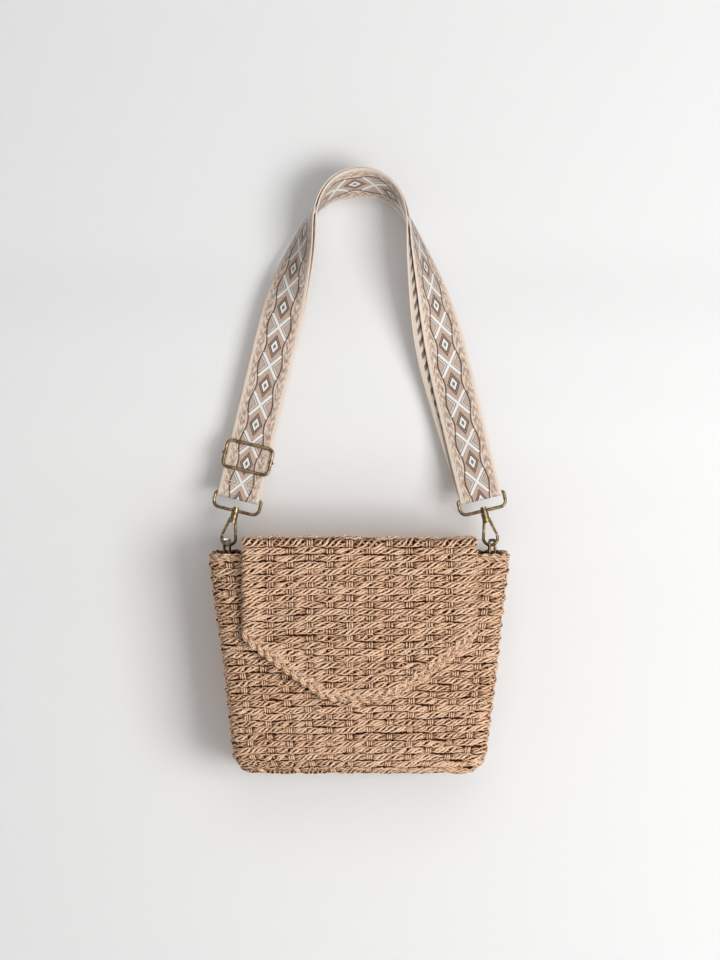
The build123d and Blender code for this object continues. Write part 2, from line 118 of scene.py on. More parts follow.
class StrawSettings(bpy.types.PropertyGroup):
    """Sizes and colours of the woven straw."""

    strand_radius: length("Strand radius", "Half the thickness of one straw strand", 1.22 * MM)
    strands: IntProperty(name="Strands", description="Strands twisted into one weft", default=4, min=2)
    bundle_tall: length("Bundle height", "Half the height between a weft's outer strands", 2.0 * MM)
    bundle_deep: length("Bundle depth", "Half the depth between a weft's outer strands", 1.2 * MM)
    bundle_twist: length("Bundle twist", "Length in which a weft's strands turn once", 23 * MM)
    warp_radius: length("Warp radius", "Half the thickness of one upright strand", 0.95 * MM)
    warp_count: IntProperty(name="Warps", description="Uprights round the whole bag", default=30, min=4)
    row_pitch: length("Row pitch", "Height of one woven row", 6.15 * MM)
    cord_twist: length("Cord twist", "Length in which a strand turns once on itself", 9 * MM)
    dip_width: length("Dip width", "Half the width of a weft's dip under an upright", 5.0 * MM)
    weft_swing: length("Weft swing", "How far a weft moves in and out between uprights", 1.5 * MM)
    warp_swing: length("Warp swing", "How far an upright moves in and out between rows", 1.7 * MM)
    step: length("Step", "Length of one facet along a strand", 1.9 * MM)
    light: colour("Light straw", "Sunlit straw", (0.80, 0.505, 0.31))
    dark: colour("Dark straw", "Straw in its shaded and browner places", (0.20, 0.068, 0.024))
    painted_highlight: colour("Pale straw", "Straw where a strand catches the light", (0.93, 0.73, 0.57))
    rosy: colour("Rosy straw", "Straw in its redder patches", (0.50, 0.215, 0.14))
    # painted shade: this near-black brown stands for the shade between the strands and colours the dark
    # sheets behind the weave
    gap: colour("Gap", "What shows between the strands", (0.066, 0.019, 0.005))


class WebbingSettings(bpy.types.PropertyGroup):
    """Sizes and colours of the strap."""

    width: length("Width", "Width of the webbing", 38 * MM)
    thickness: length("Thickness", "Thickness of the webbing", 1.4 * MM)
    repeat: length("Repeat", "Length of one pattern repeat", 36 * MM)
    cream: colour("Cream", "Ground of the webbing's edges", (0.80, 0.68, 0.58))
    tan: colour("Tan", "Leaf figures beside the band", (0.55, 0.385, 0.285))
    taupe: colour("Taupe", "Ground of the middle band", (0.43, 0.305, 0.235))
    brown: colour("Brown", "Dark outlines", (0.085, 0.05, 0.038))
    white: colour("White", "White figures", (0.84, 0.84, 0.83))
    grey: colour("Grey", "Grey shading inside the figures", (0.21, 0.22, 0.20))


class MetalSettings(bpy.types.PropertyGroup):
    """Colours of the fittings."""

    bright: colour("Rubbed brass", "Where the plating is rubbed", (0.50, 0.37, 0.21))
    dull: colour("Aged brass", "Where the plating has darkened", (0.15, 0.095, 0.045))


class LiningSettings(bpy.types.PropertyGroup):
    """Colours and thickness of the lining."""

    cloth: colour("Cotton", "Lining cloth", (0.62, 0.50, 0.38))
    thread: colour("Thread", "Sewing thread", (0.78, 0.68, 0.56))
    leather: colour("Leather", "Tabs that hold the D-rings", (0.20, 0.095, 0.045))
    thickness: length("Thickness", "Thickness of the cloth", 0.7 * MM)


class StageSettings(bpy.types.PropertyGroup):
    """Camera, light and backdrop."""

    focal: FloatProperty(name="Focal length", description="Lens, in millimetres", default=100.0)
    frame_height: length("Frame height", "Height that the picture covers", 849 * MM)
    view_height: length("View height", "Height that the camera looks at", 260.8 * MM)
    paper: colour("Backdrop", "Colour of the floor and the wall", (0.75, 0.75, 0.75))


# ---- shader expressions --------------------------------------------------------------------------
class Value:
    """A number in a material: arithmetic on it adds Math nodes."""

    def __init__(self, finish, socket):
        self.finish = finish
        self.socket = socket

    def _math(self, operation, *terms, clamp=False):
        node = self.finish.node("ShaderNodeMath", {"operation": operation, "use_clamp": clamp})
        for socket, term in zip(node.inputs, terms):
            self.finish.feed(socket, term)
        return Value(self.finish, node.outputs[0])

    def __add__(self, other):
        return self._math("ADD", self, other)

    __radd__ = __add__

    def __sub__(self, other):
        return self._math("SUBTRACT", self, other)

    def __rsub__(self, other):
        return self._math("SUBTRACT", other, self)

    def __mul__(self, other):
        return self._math("MULTIPLY", self, other)

    __rmul__ = __mul__

    def __truediv__(self, other):
        return self._math("DIVIDE", self, other)

    def __rtruediv__(self, other):
        return self._math("DIVIDE", other, self)

    def __mod__(self, other):
        return self._math("FLOORED_MODULO", self, other)

    def __abs__(self):
        return self._math("ABSOLUTE", self)

    def floor(self):
        """The whole number below."""
        return self._math("FLOOR", self)

    def cos(self):
        """Cosine of an angle in radians."""
        return self._math("COSINE", self)

    def sin(self):
        """Sine of an angle in radians."""
        return self._math("SINE", self)

    def clamp(self):
        """The number held between 0 and 1."""
        return self._math("ADD", self, 0.0, clamp=True)

    def atan2(self, other):
        """Angle of the point (other, self)."""
        return self._math("ARCTAN2", self, other)

    def most(self, other):
        """The larger of two numbers."""
        return self._math("MAXIMUM", self, other)

    def step(self, edge, soft):
        """0 below an edge and 1 above it, over a soft width."""
        return ((self - edge) / soft + 0.5).clamp()


class Finish:
    """Builds one material."""

    def __init__(self, name):
        self.material = bpy.data.materials.new(name)
        self.material.use_nodes = True
        self.tree = self.material.node_tree
        self.tree.nodes.clear()
        self.shader = self.node("ShaderNodeBsdfPrincipled")
        self.output = self.node("ShaderNodeOutputMaterial")
        self.tree.links.new(self.shader.outputs[0], self.output.inputs["Surface"])

    def feed(self, socket, source):
        """Links or sets one input."""
        if isinstance(source, Value):
            self.tree.links.new(source.socket, socket)
        elif isinstance(source, bpy.types.NodeSocket):
            self.tree.links.new(source, socket)
        else:
            socket.default_value = source

    def node(self, kind, settings=None, values=None):
        """Adds a node: its settings first, then its sockets' values or links."""
        node = self.tree.nodes.new(kind)
        for key, value in (settings or {}).items():
            if key == "stops":
                self._stops(node.color_ramp, value)
            else:
                setattr(node, key, value)
        for key, value in (values or {}).items():
            self.feed(node.inputs[key], value)
        return node

    @staticmethod
    def _stops(ramp, stops):
        for element, (place, shade) in zip(ramp.elements, stops):
            element.position = place
            element.color = shade
        for place, shade in stops[2:]:
            ramp.elements.new(place).color = shade

    def value(self, kind, output=0, settings=None, values=None):
        """A node's output as a number for expressions."""
        return Value(self, self.node(kind, settings, values).outputs[output])

    def attribute(self, name, output="Fac"):
        """A number stored on the mesh."""
        return self.value("ShaderNodeAttribute", output, {"attribute_name": name})

    def parts(self, socket):
        """The three numbers of a vector."""
        node = self.node("ShaderNodeSeparateXYZ", values={0: socket})
        return [Value(self, output) for output in node.outputs]

    def vector(self, x, y, z):
        """A vector from three numbers."""
        return self.node("ShaderNodeCombineXYZ", values={0: x, 1: y, 2: z}).outputs[0]

    def place(self):
        """Object coordinates, in metres."""
        return self.node("ShaderNodeTexCoord").outputs["Object"]

    def noise(self, vector, scale, detail=3.0, roughness=0.55):
        """Soft noise between 0 and 1."""
        return self.value(
            "ShaderNodeTexNoise",
            "Fac",
            values={"Vector": vector, "Scale": scale, "Detail": detail, "Roughness": roughness},
        )

    def mix(self, factor, low, high, blend="MIX"):
        """A colour between two colours."""
        node = self.node("ShaderNodeMix", {"data_type": "RGBA", "blend_type": blend})
        self.feed(node.inputs[0], factor)
        for socket, shade in ((node.inputs[6], low), (node.inputs[7], high)):
            self.feed(socket, shade if isinstance(shade, bpy.types.NodeSocket) else (*shade, 1.0))
        return node.outputs[2]

    def bump(self, height, distance, strength=1.0):
        """Raises the surface by a height between 0 and 1."""
        node = self.node("ShaderNodeBump", values={"Strength": strength, "Distance": distance})
        self.feed(node.inputs["Height"], height)
        self.feed(self.shader.inputs["Normal"], node.outputs[0])

    def surface(self, **values):
        """Sets or links the shader's own sockets, written with underscores for spaces."""
        for key, value in values.items():
            self.feed(self.shader.inputs[key.replace("_", " ")], value)
        return self.material


def straw_finish(settings, plies):
    """Twisted paper straw: each ply has a painted highlight along its back, and fine fibres that run with it.
    """
    finish = Finish("twisted_straw")
    lay = finish.node("ShaderNodeAttribute", {"attribute_name": "lay"})
    cosine, sine, along = finish.parts(lay.outputs["Vector"])
    tone = finish.attribute("tone")
    around = sine.atan2(cosine)
    ridge = (around * plies).cos() * 0.5 + 0.5
    fibres = finish.noise(finish.vector(cosine * 3.2, sine * 3.2, along * 110.0), 2.4, 4.0, 0.7)
    hairs = finish.noise(finish.vector(cosine * 9.0, sine * 9.0, along * 260.0), 3.0, 2.0)
    patches = finish.noise(finish.place(), 38.0, 2.0)
    blotches = finish.noise(finish.place(), 300.0, 2.0)
    outer = finish.attribute("facing")
    # lightness: random tone, patches and fibres, with painted shade in the dips and where a strand faces
    # inwards, and a painted highlight along each ply's crest
    body = (
        0.96 + tone * 0.46 + (patches - 0.5) * 0.5 + (blotches - 0.5) * 0.8 + (fibres - 0.5) * 1.7
        + (ridge - 0.6) * 0.3 + (outer - 0.85) * 1.5
    ).clamp()
    # the dark end of this mix carries painted shade as well as browner straw
    straw = finish.mix(body, settings.dark, settings.light)
    # painted highlight: the lightest parts of the strands turn paler
    straw = finish.mix(((body - 0.8) * 3.0).clamp() * 0.8, straw, settings.painted_highlight)
    straw = finish.mix(((patches - 0.55) * 3.2).clamp() * 0.42, straw, settings.rosy)
    # painted shade: the deepest dips and the inward faces of the strands turn to the near-black shade colour
    painted_hollow_shade = ((tone * -1.1 - 0.3).clamp() + ((0.55 - outer) * 3.0).clamp()).clamp()
    straw = finish.mix(painted_hollow_shade * 0.93, straw, [c * 1.5 for c in settings.gap])
    finish.bump(ridge * 0.5 + fibres * 0.6 + hairs * 0.35, 0.5 * MM, 0.75)
    return finish.surface(
        Base_Color=straw, Roughness=(0.55 + (1 - fibres) * 0.3), Specular_IOR_Level=0.16
    )


def painted_shade_finish(settings):
    """Painted shade for the dark sheets behind the weave, with a fine grain."""
    finish = Finish("straw_shadow")
    grain = finish.noise(finish.place(), 420.0, 3.0)
    shade = finish.mix(grain, [c * 0.55 for c in settings.gap], [c * 1.5 for c in settings.gap])
    finish.bump(grain, 0.4 * MM, 0.6)
    return finish.surface(Base_Color=shade, Roughness=0.9, Specular_IOR_Level=0.05)


PICK = 0.42  # distance between the webbing's cross threads, in millimetres, as the next four are
LEAF_MIDDLE = 13.2
LEAF_REPEAT = 9.0
BAND_HALF = 9.5
CHEVRON_REPEAT = 11.0
ARM_SLOPE = 0.78  # how far a cross's arm moves out for each step along the webbing
THREAD_SHADOW = (0.30, 0.22, 0.18)


def webbing_finish(settings):
    """Jacquard webbing: crosses and diamonds down the middle, leaves beside them, chevrons on its reverse.

    Distances are in millimetres: across from the webbing's middle, and along its length.
    """
    finish = Finish("jacquard_webbing")
    u, v, _ = finish.parts(finish.node("ShaderNodeUVMap", {"uv_map": "webbing"}).outputs[0])
    reverse = u.step(1.5, 0.01)
    thread_u = (u - reverse * 2.0 - 0.5) * settings.width / MM
    thread_v = v / MM
    jitter = finish.noise(finish.vector(thread_u * 0.9, thread_v * 0.9, 0.0), 1.0, 2.0) - 0.5
    pick = (thread_v / PICK).floor() * PICK
    across = abs(thread_u + jitter * 0.7)
    repeat = settings.repeat / MM
    from_diamond = abs((pick + jitter * 0.9) % repeat - repeat / 2)
    from_cross = repeat / 2 - from_diamond

    colour_now = finish.mix(0.0, settings.cream, settings.cream)
    streaks = finish.noise(finish.vector(thread_u * 1.1, thread_v * 0.16, 5.0), 1.6, 2.0) - 0.5
    leaf = (pick - abs(across - LEAF_MIDDLE) * 2.1 + streaks * 3.0) % LEAF_REPEAT
    leaves = leaf.step(3.6, 1.6) * (1 - across.step(16.2, 1.2)) * across.step(10.4, 0.5)
    colour_now = finish.mix((leaves * 0.62 + streaks * 0.5).clamp(), colour_now, settings.tan)
    leaf_core = (leaf.step(5.0, 0.8) - leaf.step(8.2, 0.8)).clamp() * (1 - across.step(14.4, 0.8)) * leaves
    colour_now = finish.mix(leaf_core * 0.6, colour_now, settings.taupe)
    veins = finish.noise(finish.vector(thread_u * 1.5, thread_v * 0.22, 9.0), 1.3, 2.0)
    beside = across.step(9.8, 0.6) * (1 - across.step(17.0, 0.8))
    vein_brown = [c * 2.2 for c in settings.brown]
    colour_now = finish.mix(veins.step(0.565, 0.05) * beside * 0.75, colour_now, vein_brown)

    edge = BAND_HALF + (from_diamond * (2 * math.pi / repeat)).cos() * -1.5
    band = 1 - across.step(edge, 0.3)
    colour_now = finish.mix(band, colour_now, settings.taupe)
    speckle = finish.noise(finish.vector(thread_u * 2.2, pick * 0.8, 3.0), 1.0, 2.0)
    colour_now = finish.mix(band * speckle.step(0.5, 0.2) * 0.55, colour_now, settings.cream)
    outline = 1 - abs(across - edge).step(0.75, 0.3)
    colour_now = finish.mix(outline * 0.9, colour_now, settings.brown)

    arm = abs(across - from_cross * ARM_SLOPE)
    second = abs(across - from_cross * ARM_SLOPE - 3.3)
    reach = (1 - from_cross.step(10.9, 0.5)) * (1 - across.step(8.9, 0.4))
    colour_now = finish.mix((1 - second.step(0.5, 0.3)) * reach * 0.8, colour_now, settings.white)
    colour_now = finish.mix((1 - abs(second - 1.0).step(0.4, 0.3)) * reach * 0.75, colour_now, settings.grey)
    colour_now = finish.mix((1 - arm.step(1.35, 0.3)) * reach, colour_now, settings.white)

    diamond = across / 6.3 + from_diamond / 10.8
    rings = ((1.12, "tan"), (1.0, "brown"), (0.86, "taupe"), (0.74, "brown"), (0.56, "white"), (0.25, "grey"))
    for limit, shade in rings:
        colour_now = finish.mix(1 - diamond.step(limit, 0.06), colour_now, getattr(settings, shade))

    wide = abs(thread_u)
    chevron = (pick + wide * 1.2) % CHEVRON_REPEAT
    dark_marks = chevron.step(5.6, 0.8) * (1 - wide.step(15.2, 0.8)) * wide.step(2.0, 0.8)
    back = finish.mix(dark_marks * 0.85, [c * 0.86 for c in settings.cream], settings.brown)
    back = finish.mix((1 - abs(wide - 8.6).step(1.1, 0.5)) * 0.8, back, settings.brown)
    colour_now = finish.mix(reverse, colour_now, back)

    rib = (thread_v * (2 * math.pi / (2 * PICK))).cos() * 0.5 + 0.5
    end = (thread_u * (2 * math.pi / 0.95)).cos() * 0.5 + 0.5
    lint = finish.noise(finish.vector(thread_u * 3.0, thread_v * 3.0, 0.0), 1.2, 3.0)
    weave = rib * 0.6 + end * 0.4
    shadow = ((1 - weave) * 0.34 + (lint - 0.5) * 0.3).clamp()
    colour_now = finish.mix(shadow, colour_now, THREAD_SHADOW, "MULTIPLY")
    raised = (1 - arm.step(1.2, 0.5)) * reach * (1 - reverse)
    finish.bump(weave * 0.8 + raised * 0.5 + lint * 0.3, 0.22 * MM, 0.8)
    return finish.surface(Base_Color=colour_now, Roughness=0.82, Specular_IOR_Level=0.25, Sheen_Weight=0.25)


def brass_finish(settings, name, polish=0.0):
    """Antique brass: darkened plating rubbed bright in patches."""
    finish = Finish(name)
    clouds = finish.noise(finish.place(), 240.0, 4.0, 0.6)
    specks = finish.noise(finish.place(), 1800.0, 2.0)
    rubbed = ((clouds - 0.43 + polish) * 3.4 + (specks - 0.5) * 0.5).clamp()
    shade = finish.mix(rubbed, settings.dull, settings.bright)
    finish.bump(clouds * 0.5 + specks * 0.5, 0.05 * MM, 0.35)
    roughness = 0.44 - rubbed * 0.20 + (specks - 0.5) * 0.1
    return finish.surface(Base_Color=shade, Metallic=1.0, Roughness=roughness)


def cloth_finish(shade, name, fine=1400.0):
    """Plain-woven cotton, read from object coordinates."""
    finish = Finish(name)
    x, y, z = finish.parts(finish.place())
    ends = ((x + y) * fine * math.pi).sin() * 0.5 + 0.5
    picks = (z * fine * math.pi).sin() * 0.5 + 0.5
    slubs = finish.noise(finish.place(), 900.0, 3.0)
    soft_patches = finish.noise(finish.place(), 26.0, 3.0)
    weave = ends * picks
    # the cloth is darker between its threads, which is painted shade, and darker in large soft patches
    tint = finish.mix((weave * 0.3 + slubs * 0.5 + soft_patches * 0.3).clamp(), [c * 0.72 for c in shade], shade)
    finish.bump(weave * 0.6 + slubs * 0.5, 0.12 * MM, 0.6)
    return finish.surface(Base_Color=tint, Roughness=0.88, Specular_IOR_Level=0.2, Sheen_Weight=0.2)


def leather_finish(shade):
    """Smooth brown leather with a fine grain."""
    finish = Finish("tab_leather")
    grain = finish.value(
        "ShaderNodeTexVoronoi", "Distance", values={"Vector": finish.place(), "Scale": 1500.0}
    )
    wear = finish.noise(finish.place(), 160.0, 3.0)
    tint = finish.mix(wear, [c * 0.7 for c in shade], [c * 1.35 for c in shade])
    finish.bump(grain, 0.08 * MM, 0.5)
    return finish.surface(Base_Color=tint, Roughness=(0.42 + wear * 0.25))


def thread_finish(shade):
    """Twisted sewing thread."""
    finish = Finish("thread")
    fuzz = finish.noise(finish.place(), 2600.0, 2.0)
    tint = finish.mix(fuzz, [c * 0.75 for c in shade], shade)
    finish.bump(fuzz, 0.05 * MM, 0.5)
    return finish.surface(Base_Color=tint, Roughness=0.75)


def floor_finish(shade):
    """Pale floor, lit evenly."""
    finish = Finish("floor")
    finish.surface(Base_Color=(*shade, 1.0), Roughness=0.8, Specular_IOR_Level=0.1)
    seen = Value(finish, finish.node("ShaderNodeLightPath").outputs["Is Camera Ray"])
    even = finish.node("ShaderNodeEmission", values={"Color": (*shade, 1.0), "Strength": 1.05})
    mixer = finish.node("ShaderNodeMixShader", values={0: seen * 0.72, 1: finish.shader.outputs[0]})
    finish.feed(mixer.inputs[2], even.outputs[0])
    finish.feed(finish.output.inputs["Surface"], mixer.outputs[0])
    return finish.material


def paper_finish(shade):
    """Pale backdrop that is clear from behind, so that it doesn't hide the back of the bag."""
    finish = Finish("backdrop")
    mottle = finish.noise(finish.place(), 2.2, 2.0)
    tint = finish.mix(mottle, [c * 0.985 for c in shade], shade)
    finish.surface(Base_Color=tint, Roughness=0.75, Specular_IOR_Level=0.2)
    behind = Value(finish, finish.node("ShaderNodeNewGeometry").outputs["Backfacing"])
    seen = Value(finish, finish.node("ShaderNodeLightPath").outputs["Is Camera Ray"])
    clear = finish.node("ShaderNodeBsdfTransparent")
    mixer = finish.node("ShaderNodeMixShader")
    finish.feed(mixer.inputs[0], behind.most(1 - seen))
    finish.feed(mixer.inputs[1], finish.shader.outputs[0])
    finish.feed(mixer.inputs[2], clear.outputs[0])
    finish.feed(finish.output.inputs["Surface"], mixer.outputs[0])
    return finish.material


# ---- mesh helpers --------------------------------------------------------------------------------
def put(mesh, name):
    """Puts a mesh in the scene as an object at the origin."""
    piece = bpy.data.objects.new(name, mesh)
    bpy.context.scene.collection.objects.link(piece)
    return piece


def settle(piece):
    """Applies a piece's modifiers and gives it the plain mesh that comes out."""
    bpy.context.view_layer.update()
    graph = bpy.context.evaluated_depsgraph_get()
    mesh = bpy.data.meshes.new_from_object(piece.evaluated_get(graph))
    piece.modifiers.clear()
    piece.data = mesh
    if len(mesh.polygons) == 0:
        raise RuntimeError(f"{piece.name} came out empty")
    return piece


def smooth(piece):
    """Shades every face smooth."""
    piece.data.polygons.foreach_set("use_smooth", [True] * len(piece.data.polygons))
    return piece


def grid_piece(name, rows, material, closed=False):
    """A sheet through rows of points, all of the same length, and closed round each row if asked."""
    mesh = bpy.data.meshes.new(name)
    wide = len(rows[0])
    points = [point for row in rows for point in row]
    spans = wide if closed else wide - 1
    faces = [
        (r * wide + c, r * wide + (c + 1) % wide, (r + 1) * wide + (c + 1) % wide, (r + 1) * wide + c)
        for r in range(len(rows) - 1)
        for c in range(spans)
    ]
    mesh.from_pydata(points, [], faces)
    mesh.materials.append(material)
    return smooth(put(mesh, name))


def thicken(piece, thickness, offset=0.0):
    """Gives a sheet a thickness."""
    wall = piece.modifiers.new("wall", "SOLIDIFY")
    wall.thickness = thickness
    wall.offset = offset
    return smooth(settle(piece))


def cloth_area(piece):
    """The area of a sheet before it is thickened."""
    return sum(polygon.area for polygon in piece.data.polygons)


def join(name, pieces):
    """Joins pieces into one mesh that keeps its materials."""
    bpy.ops.object.select_all(action="DESELECT")
    for piece in pieces:
        piece.select_set(True)
    bpy.context.view_layer.objects.active = pieces[0]
    bpy.ops.object.join()
    pieces[0].name = name
    return pieces[0]


def ease(value, low, high):
    """Smooth step from 0 at low to 1 at high."""
    t = min(1.0, max(0.0, (value - low) / (high - low)))
    return t * t * (3 - 2 * t)


def spread(low, high, step):
    """Evenly spaced values from low to high."""
    count = max(1, round(abs(high - low) / step))
    return [low + (high - low) * i / count for i in range(count + 1)]


def wobble(point, scale, seed=0.0):
    """Smooth unevenness between -1 and 1 that depends only on place."""
    return noise.noise(Vector(point) * scale + Vector((seed, seed * 1.7, -seed)))


# ---- geometry node trees -------------------------------------------------------------------------
class Tree:
    """Builds one Geometry Nodes tree with named inputs."""

    def __init__(self, name, inputs):
        self.group = bpy.data.node_groups.new(name, "GeometryNodeTree")
        self.group.interface.new_socket("Geometry", in_out="INPUT", socket_type="NodeSocketGeometry")
        for label, (kind, default) in inputs.items():
            socket = self.group.interface.new_socket(label, in_out="INPUT", socket_type=f"NodeSocket{kind}")
            if default is not None:
                socket.default_value = default
        self.group.interface.new_socket("Geometry", in_out="OUTPUT", socket_type="NodeSocketGeometry")
        self.source = self.node("NodeGroupInput")
        self.sink = self.node("NodeGroupOutput")

    def node(self, kind, settings=None, values=None):
        """Adds a node: its settings first, then its sockets' values or links."""
        node = self.group.nodes.new(kind)
        for key, value in (settings or {}).items():
            setattr(node, key, value)
        for key, value in (values or {}).items():
            self.feed(node.inputs[key], value)
        return node

    def feed(self, socket, source):
        """Links or sets one input."""
        if isinstance(source, bpy.types.NodeSocket):
            self.group.links.new(source, socket)
        else:
            socket.default_value = source

    def math(self, operation, *terms):
        """One Math node's output."""
        node = self.node("ShaderNodeMath", {"operation": operation})
        for socket, term in zip(node.inputs, terms):
            self.feed(socket, term)
        return node.outputs[0]

    def named(self, kind, label):
        """A number or a vector stored on the mesh."""
        node = self.node("GeometryNodeInputNamedAttribute", {"data_type": kind}, {"Name": label})
        return node.outputs["Attribute"]

    def given(self, label):
        """One of the tree's own inputs."""
        return self.source.outputs[label]

    def run(self, piece, **values):
        """Runs the tree on a piece, with its inputs set by identifier, and keeps the plain mesh."""
        modifier = piece.modifiers.new(self.group.name, "NODES")
        modifier.node_group = self.group
        known = {
            item.name.replace(" ", "_").lower(): item.identifier
            for item in self.group.interface.items_tree
            if item.in_out == "INPUT"
        }
        for key, value in values.items():
            modifier[known[key]] = value
        return smooth(settle(piece))


def rope_tree():
    """Turns lines into twisted cords with lobed sections, and stores how each point lies on its cord."""
    tree = Tree(
        "twisted_cord",
        {
            "Radius": ("Float", 0.002),
            "Twist": ("Float", 0.017),
            "Step": ("Float", 0.0017),
            "Plies": ("Int", 3),
            "Groove": ("Float", 0.3),
            "Sides": ("Int", 12),
            "Material": ("Material", None),
        },
    )
    curve = tree.node("GeometryNodeMeshToCurve", values={"Mesh": tree.source.outputs["Geometry"]})
    steps = tree.node("GeometryNodeResampleCurve", {"mode": "LENGTH"})
    tree.feed(steps.inputs["Curve"], curve.outputs[0])
    tree.feed(steps.inputs["Length"], tree.given("Step"))
    along = tree.node("GeometryNodeSplineParameter").outputs["Length"]
    phase = tree.named("FLOAT", "phase")
    turns = tree.math("DIVIDE", along, tree.given("Twist"))
    tilt = tree.math("MULTIPLY", tree.math("ADD", turns, phase), 2 * math.pi)
    tilted = tree.node("GeometryNodeSetCurveTilt", values={"Curve": steps.outputs[0], "Tilt": tilt})
    kept = tree.node("GeometryNodeCaptureAttribute", values={"Geometry": tilted.outputs[0]})
    kept.capture_items.new("FLOAT", "Along")
    tree.feed(kept.inputs["Along"], along)

    ring = tree.node("GeometryNodeCurvePrimitiveCircle", {"mode": "RADIUS"})
    tree.feed(ring.inputs["Resolution"], tree.given("Sides"))
    tree.feed(ring.inputs["Radius"], tree.given("Radius"))
    index = tree.node("GeometryNodeInputIndex").outputs[0]
    angle = tree.math("DIVIDE", tree.math("MULTIPLY", index, 2 * math.pi), tree.given("Sides"))
    lobe = tree.math("COSINE", tree.math("MULTIPLY", angle, tree.given("Plies")))
    half_groove = tree.math("MULTIPLY", tree.given("Groove"), 0.5)
    dip = tree.math("MULTIPLY", tree.math("SUBTRACT", 1.0, lobe), half_groove)
    grow = tree.node("ShaderNodeVectorMath", {"operation": "SCALE"})
    tree.feed(grow.inputs[0], tree.node("GeometryNodeInputPosition").outputs[0])
    tree.feed(grow.inputs["Scale"], tree.math("SUBTRACT", 1.0, dip))
    lobed = tree.node(
        "GeometryNodeSetPosition", values={"Geometry": ring.outputs[0], "Position": grow.outputs[0]}
    )
    round_it = tree.node("GeometryNodeCaptureAttribute", values={"Geometry": lobed.outputs[0]})
    round_it.capture_items.new("FLOAT", "Cosine")
    round_it.capture_items.new("FLOAT", "Sine")
    tree.feed(round_it.inputs["Cosine"], tree.math("COSINE", angle))
    tree.feed(round_it.inputs["Sine"], tree.math("SINE", angle))

    girth = tree.named("FLOAT", "girth")
    cords = tree.node(
        "GeometryNodeCurveToMesh",
        values={
            "Curve": kept.outputs[0],
            "Profile Curve": round_it.outputs[0],
            "Scale": girth,
            "Fill Caps": True,
        },
    )
    lay = tree.node("ShaderNodeCombineXYZ")
    tree.feed(lay.inputs[0], round_it.outputs["Cosine"])
    tree.feed(lay.inputs[1], round_it.outputs["Sine"])
    tree.feed(lay.inputs[2], kept.outputs["Along"])
    store = tree.node("GeometryNodeStoreNamedAttribute", {"data_type": "FLOAT_VECTOR", "domain": "POINT"})
    tree.feed(store.inputs["Geometry"], cords.outputs[0])
    tree.feed(store.inputs["Name"], "lay")
    tree.feed(store.inputs["Value"], lay.outputs[0])
    # facing: how far each point's surface faces away from its cord's axis; the straw material paints shade
    # from it where strands face inwards
    from_axis = tree.node("ShaderNodeVectorMath", {"operation": "SUBTRACT"})
    tree.feed(from_axis.inputs[0], tree.node("GeometryNodeInputPosition").outputs[0])
    tree.feed(from_axis.inputs[1], tree.named("FLOAT_VECTOR", "axis"))
    unit = tree.node("ShaderNodeVectorMath", {"operation": "NORMALIZE"}, {0: from_axis.outputs[0]})
    facing = tree.node("ShaderNodeVectorMath", {"operation": "DOT_PRODUCT"}, {0: unit.outputs[0]})
    tree.feed(facing.inputs[1], tree.node("GeometryNodeInputNormal").outputs[0])
    outer = tree.node("GeometryNodeStoreNamedAttribute", {"data_type": "FLOAT", "domain": "POINT"})
    tree.feed(outer.inputs["Geometry"], store.outputs[0])
    tree.feed(outer.inputs["Name"], "facing")
    tree.feed(outer.inputs["Value"], facing.outputs["Value"])
    real = tree.node("GeometryNodeRealizeInstances", values={"Geometry": outer.outputs[0]})
    painted = tree.node("GeometryNodeSetMaterial", values={"Geometry": real.outputs[0]})
    tree.feed(painted.inputs["Material"], tree.given("Material"))
    tree.feed(tree.sink.inputs["Geometry"], painted.outputs[0])
    return tree


def stitch_tree():
    """Lays rounded stitches end to end along lines."""
    tree = Tree(
        "stitches",
        {
            "Pitch": ("Float", 0.0032),
            "Stitch Length": ("Float", 0.0024),
            "Thread": ("Float", 0.00035),
            "Material": ("Material", None),
        },
    )
    curve = tree.node("GeometryNodeMeshToCurve", values={"Mesh": tree.source.outputs["Geometry"]})
    places = tree.node("GeometryNodeCurveToPoints", {"mode": "LENGTH"})
    tree.feed(places.inputs["Curve"], curve.outputs[0])
    tree.feed(places.inputs["Length"], tree.given("Pitch"))
    bead = tree.node("GeometryNodeMeshUVSphere", values={"Segments": 8, "Rings": 6, "Radius": 1.0})
    half = tree.math("MULTIPLY", tree.given("Stitch Length"), 0.5)
    thread = tree.given("Thread")
    size = tree.node("ShaderNodeCombineXYZ", values={0: thread, 1: thread, 2: half})
    laid = tree.node("GeometryNodeInstanceOnPoints", values={"Points": places.outputs["Points"]})
    tree.feed(laid.inputs["Instance"], bead.outputs["Mesh"])
    tree.feed(laid.inputs["Rotation"], places.outputs["Rotation"])
    tree.feed(laid.inputs["Scale"], size.outputs[0])
    real = tree.node("GeometryNodeRealizeInstances", values={"Geometry": laid.outputs[0]})
    painted = tree.node("GeometryNodeSetMaterial", values={"Geometry": real.outputs[0]})
    tree.feed(painted.inputs["Material"], tree.given("Material"))
    tree.feed(tree.sink.inputs["Geometry"], painted.outputs[0])
    return tree


MADE = {}


def shared(name, maker, *arguments):
    """Makes a tree or a material once and gives it back each time."""
    if name not in MADE:
        MADE[name] = maker(*arguments)
    return MADE[name]


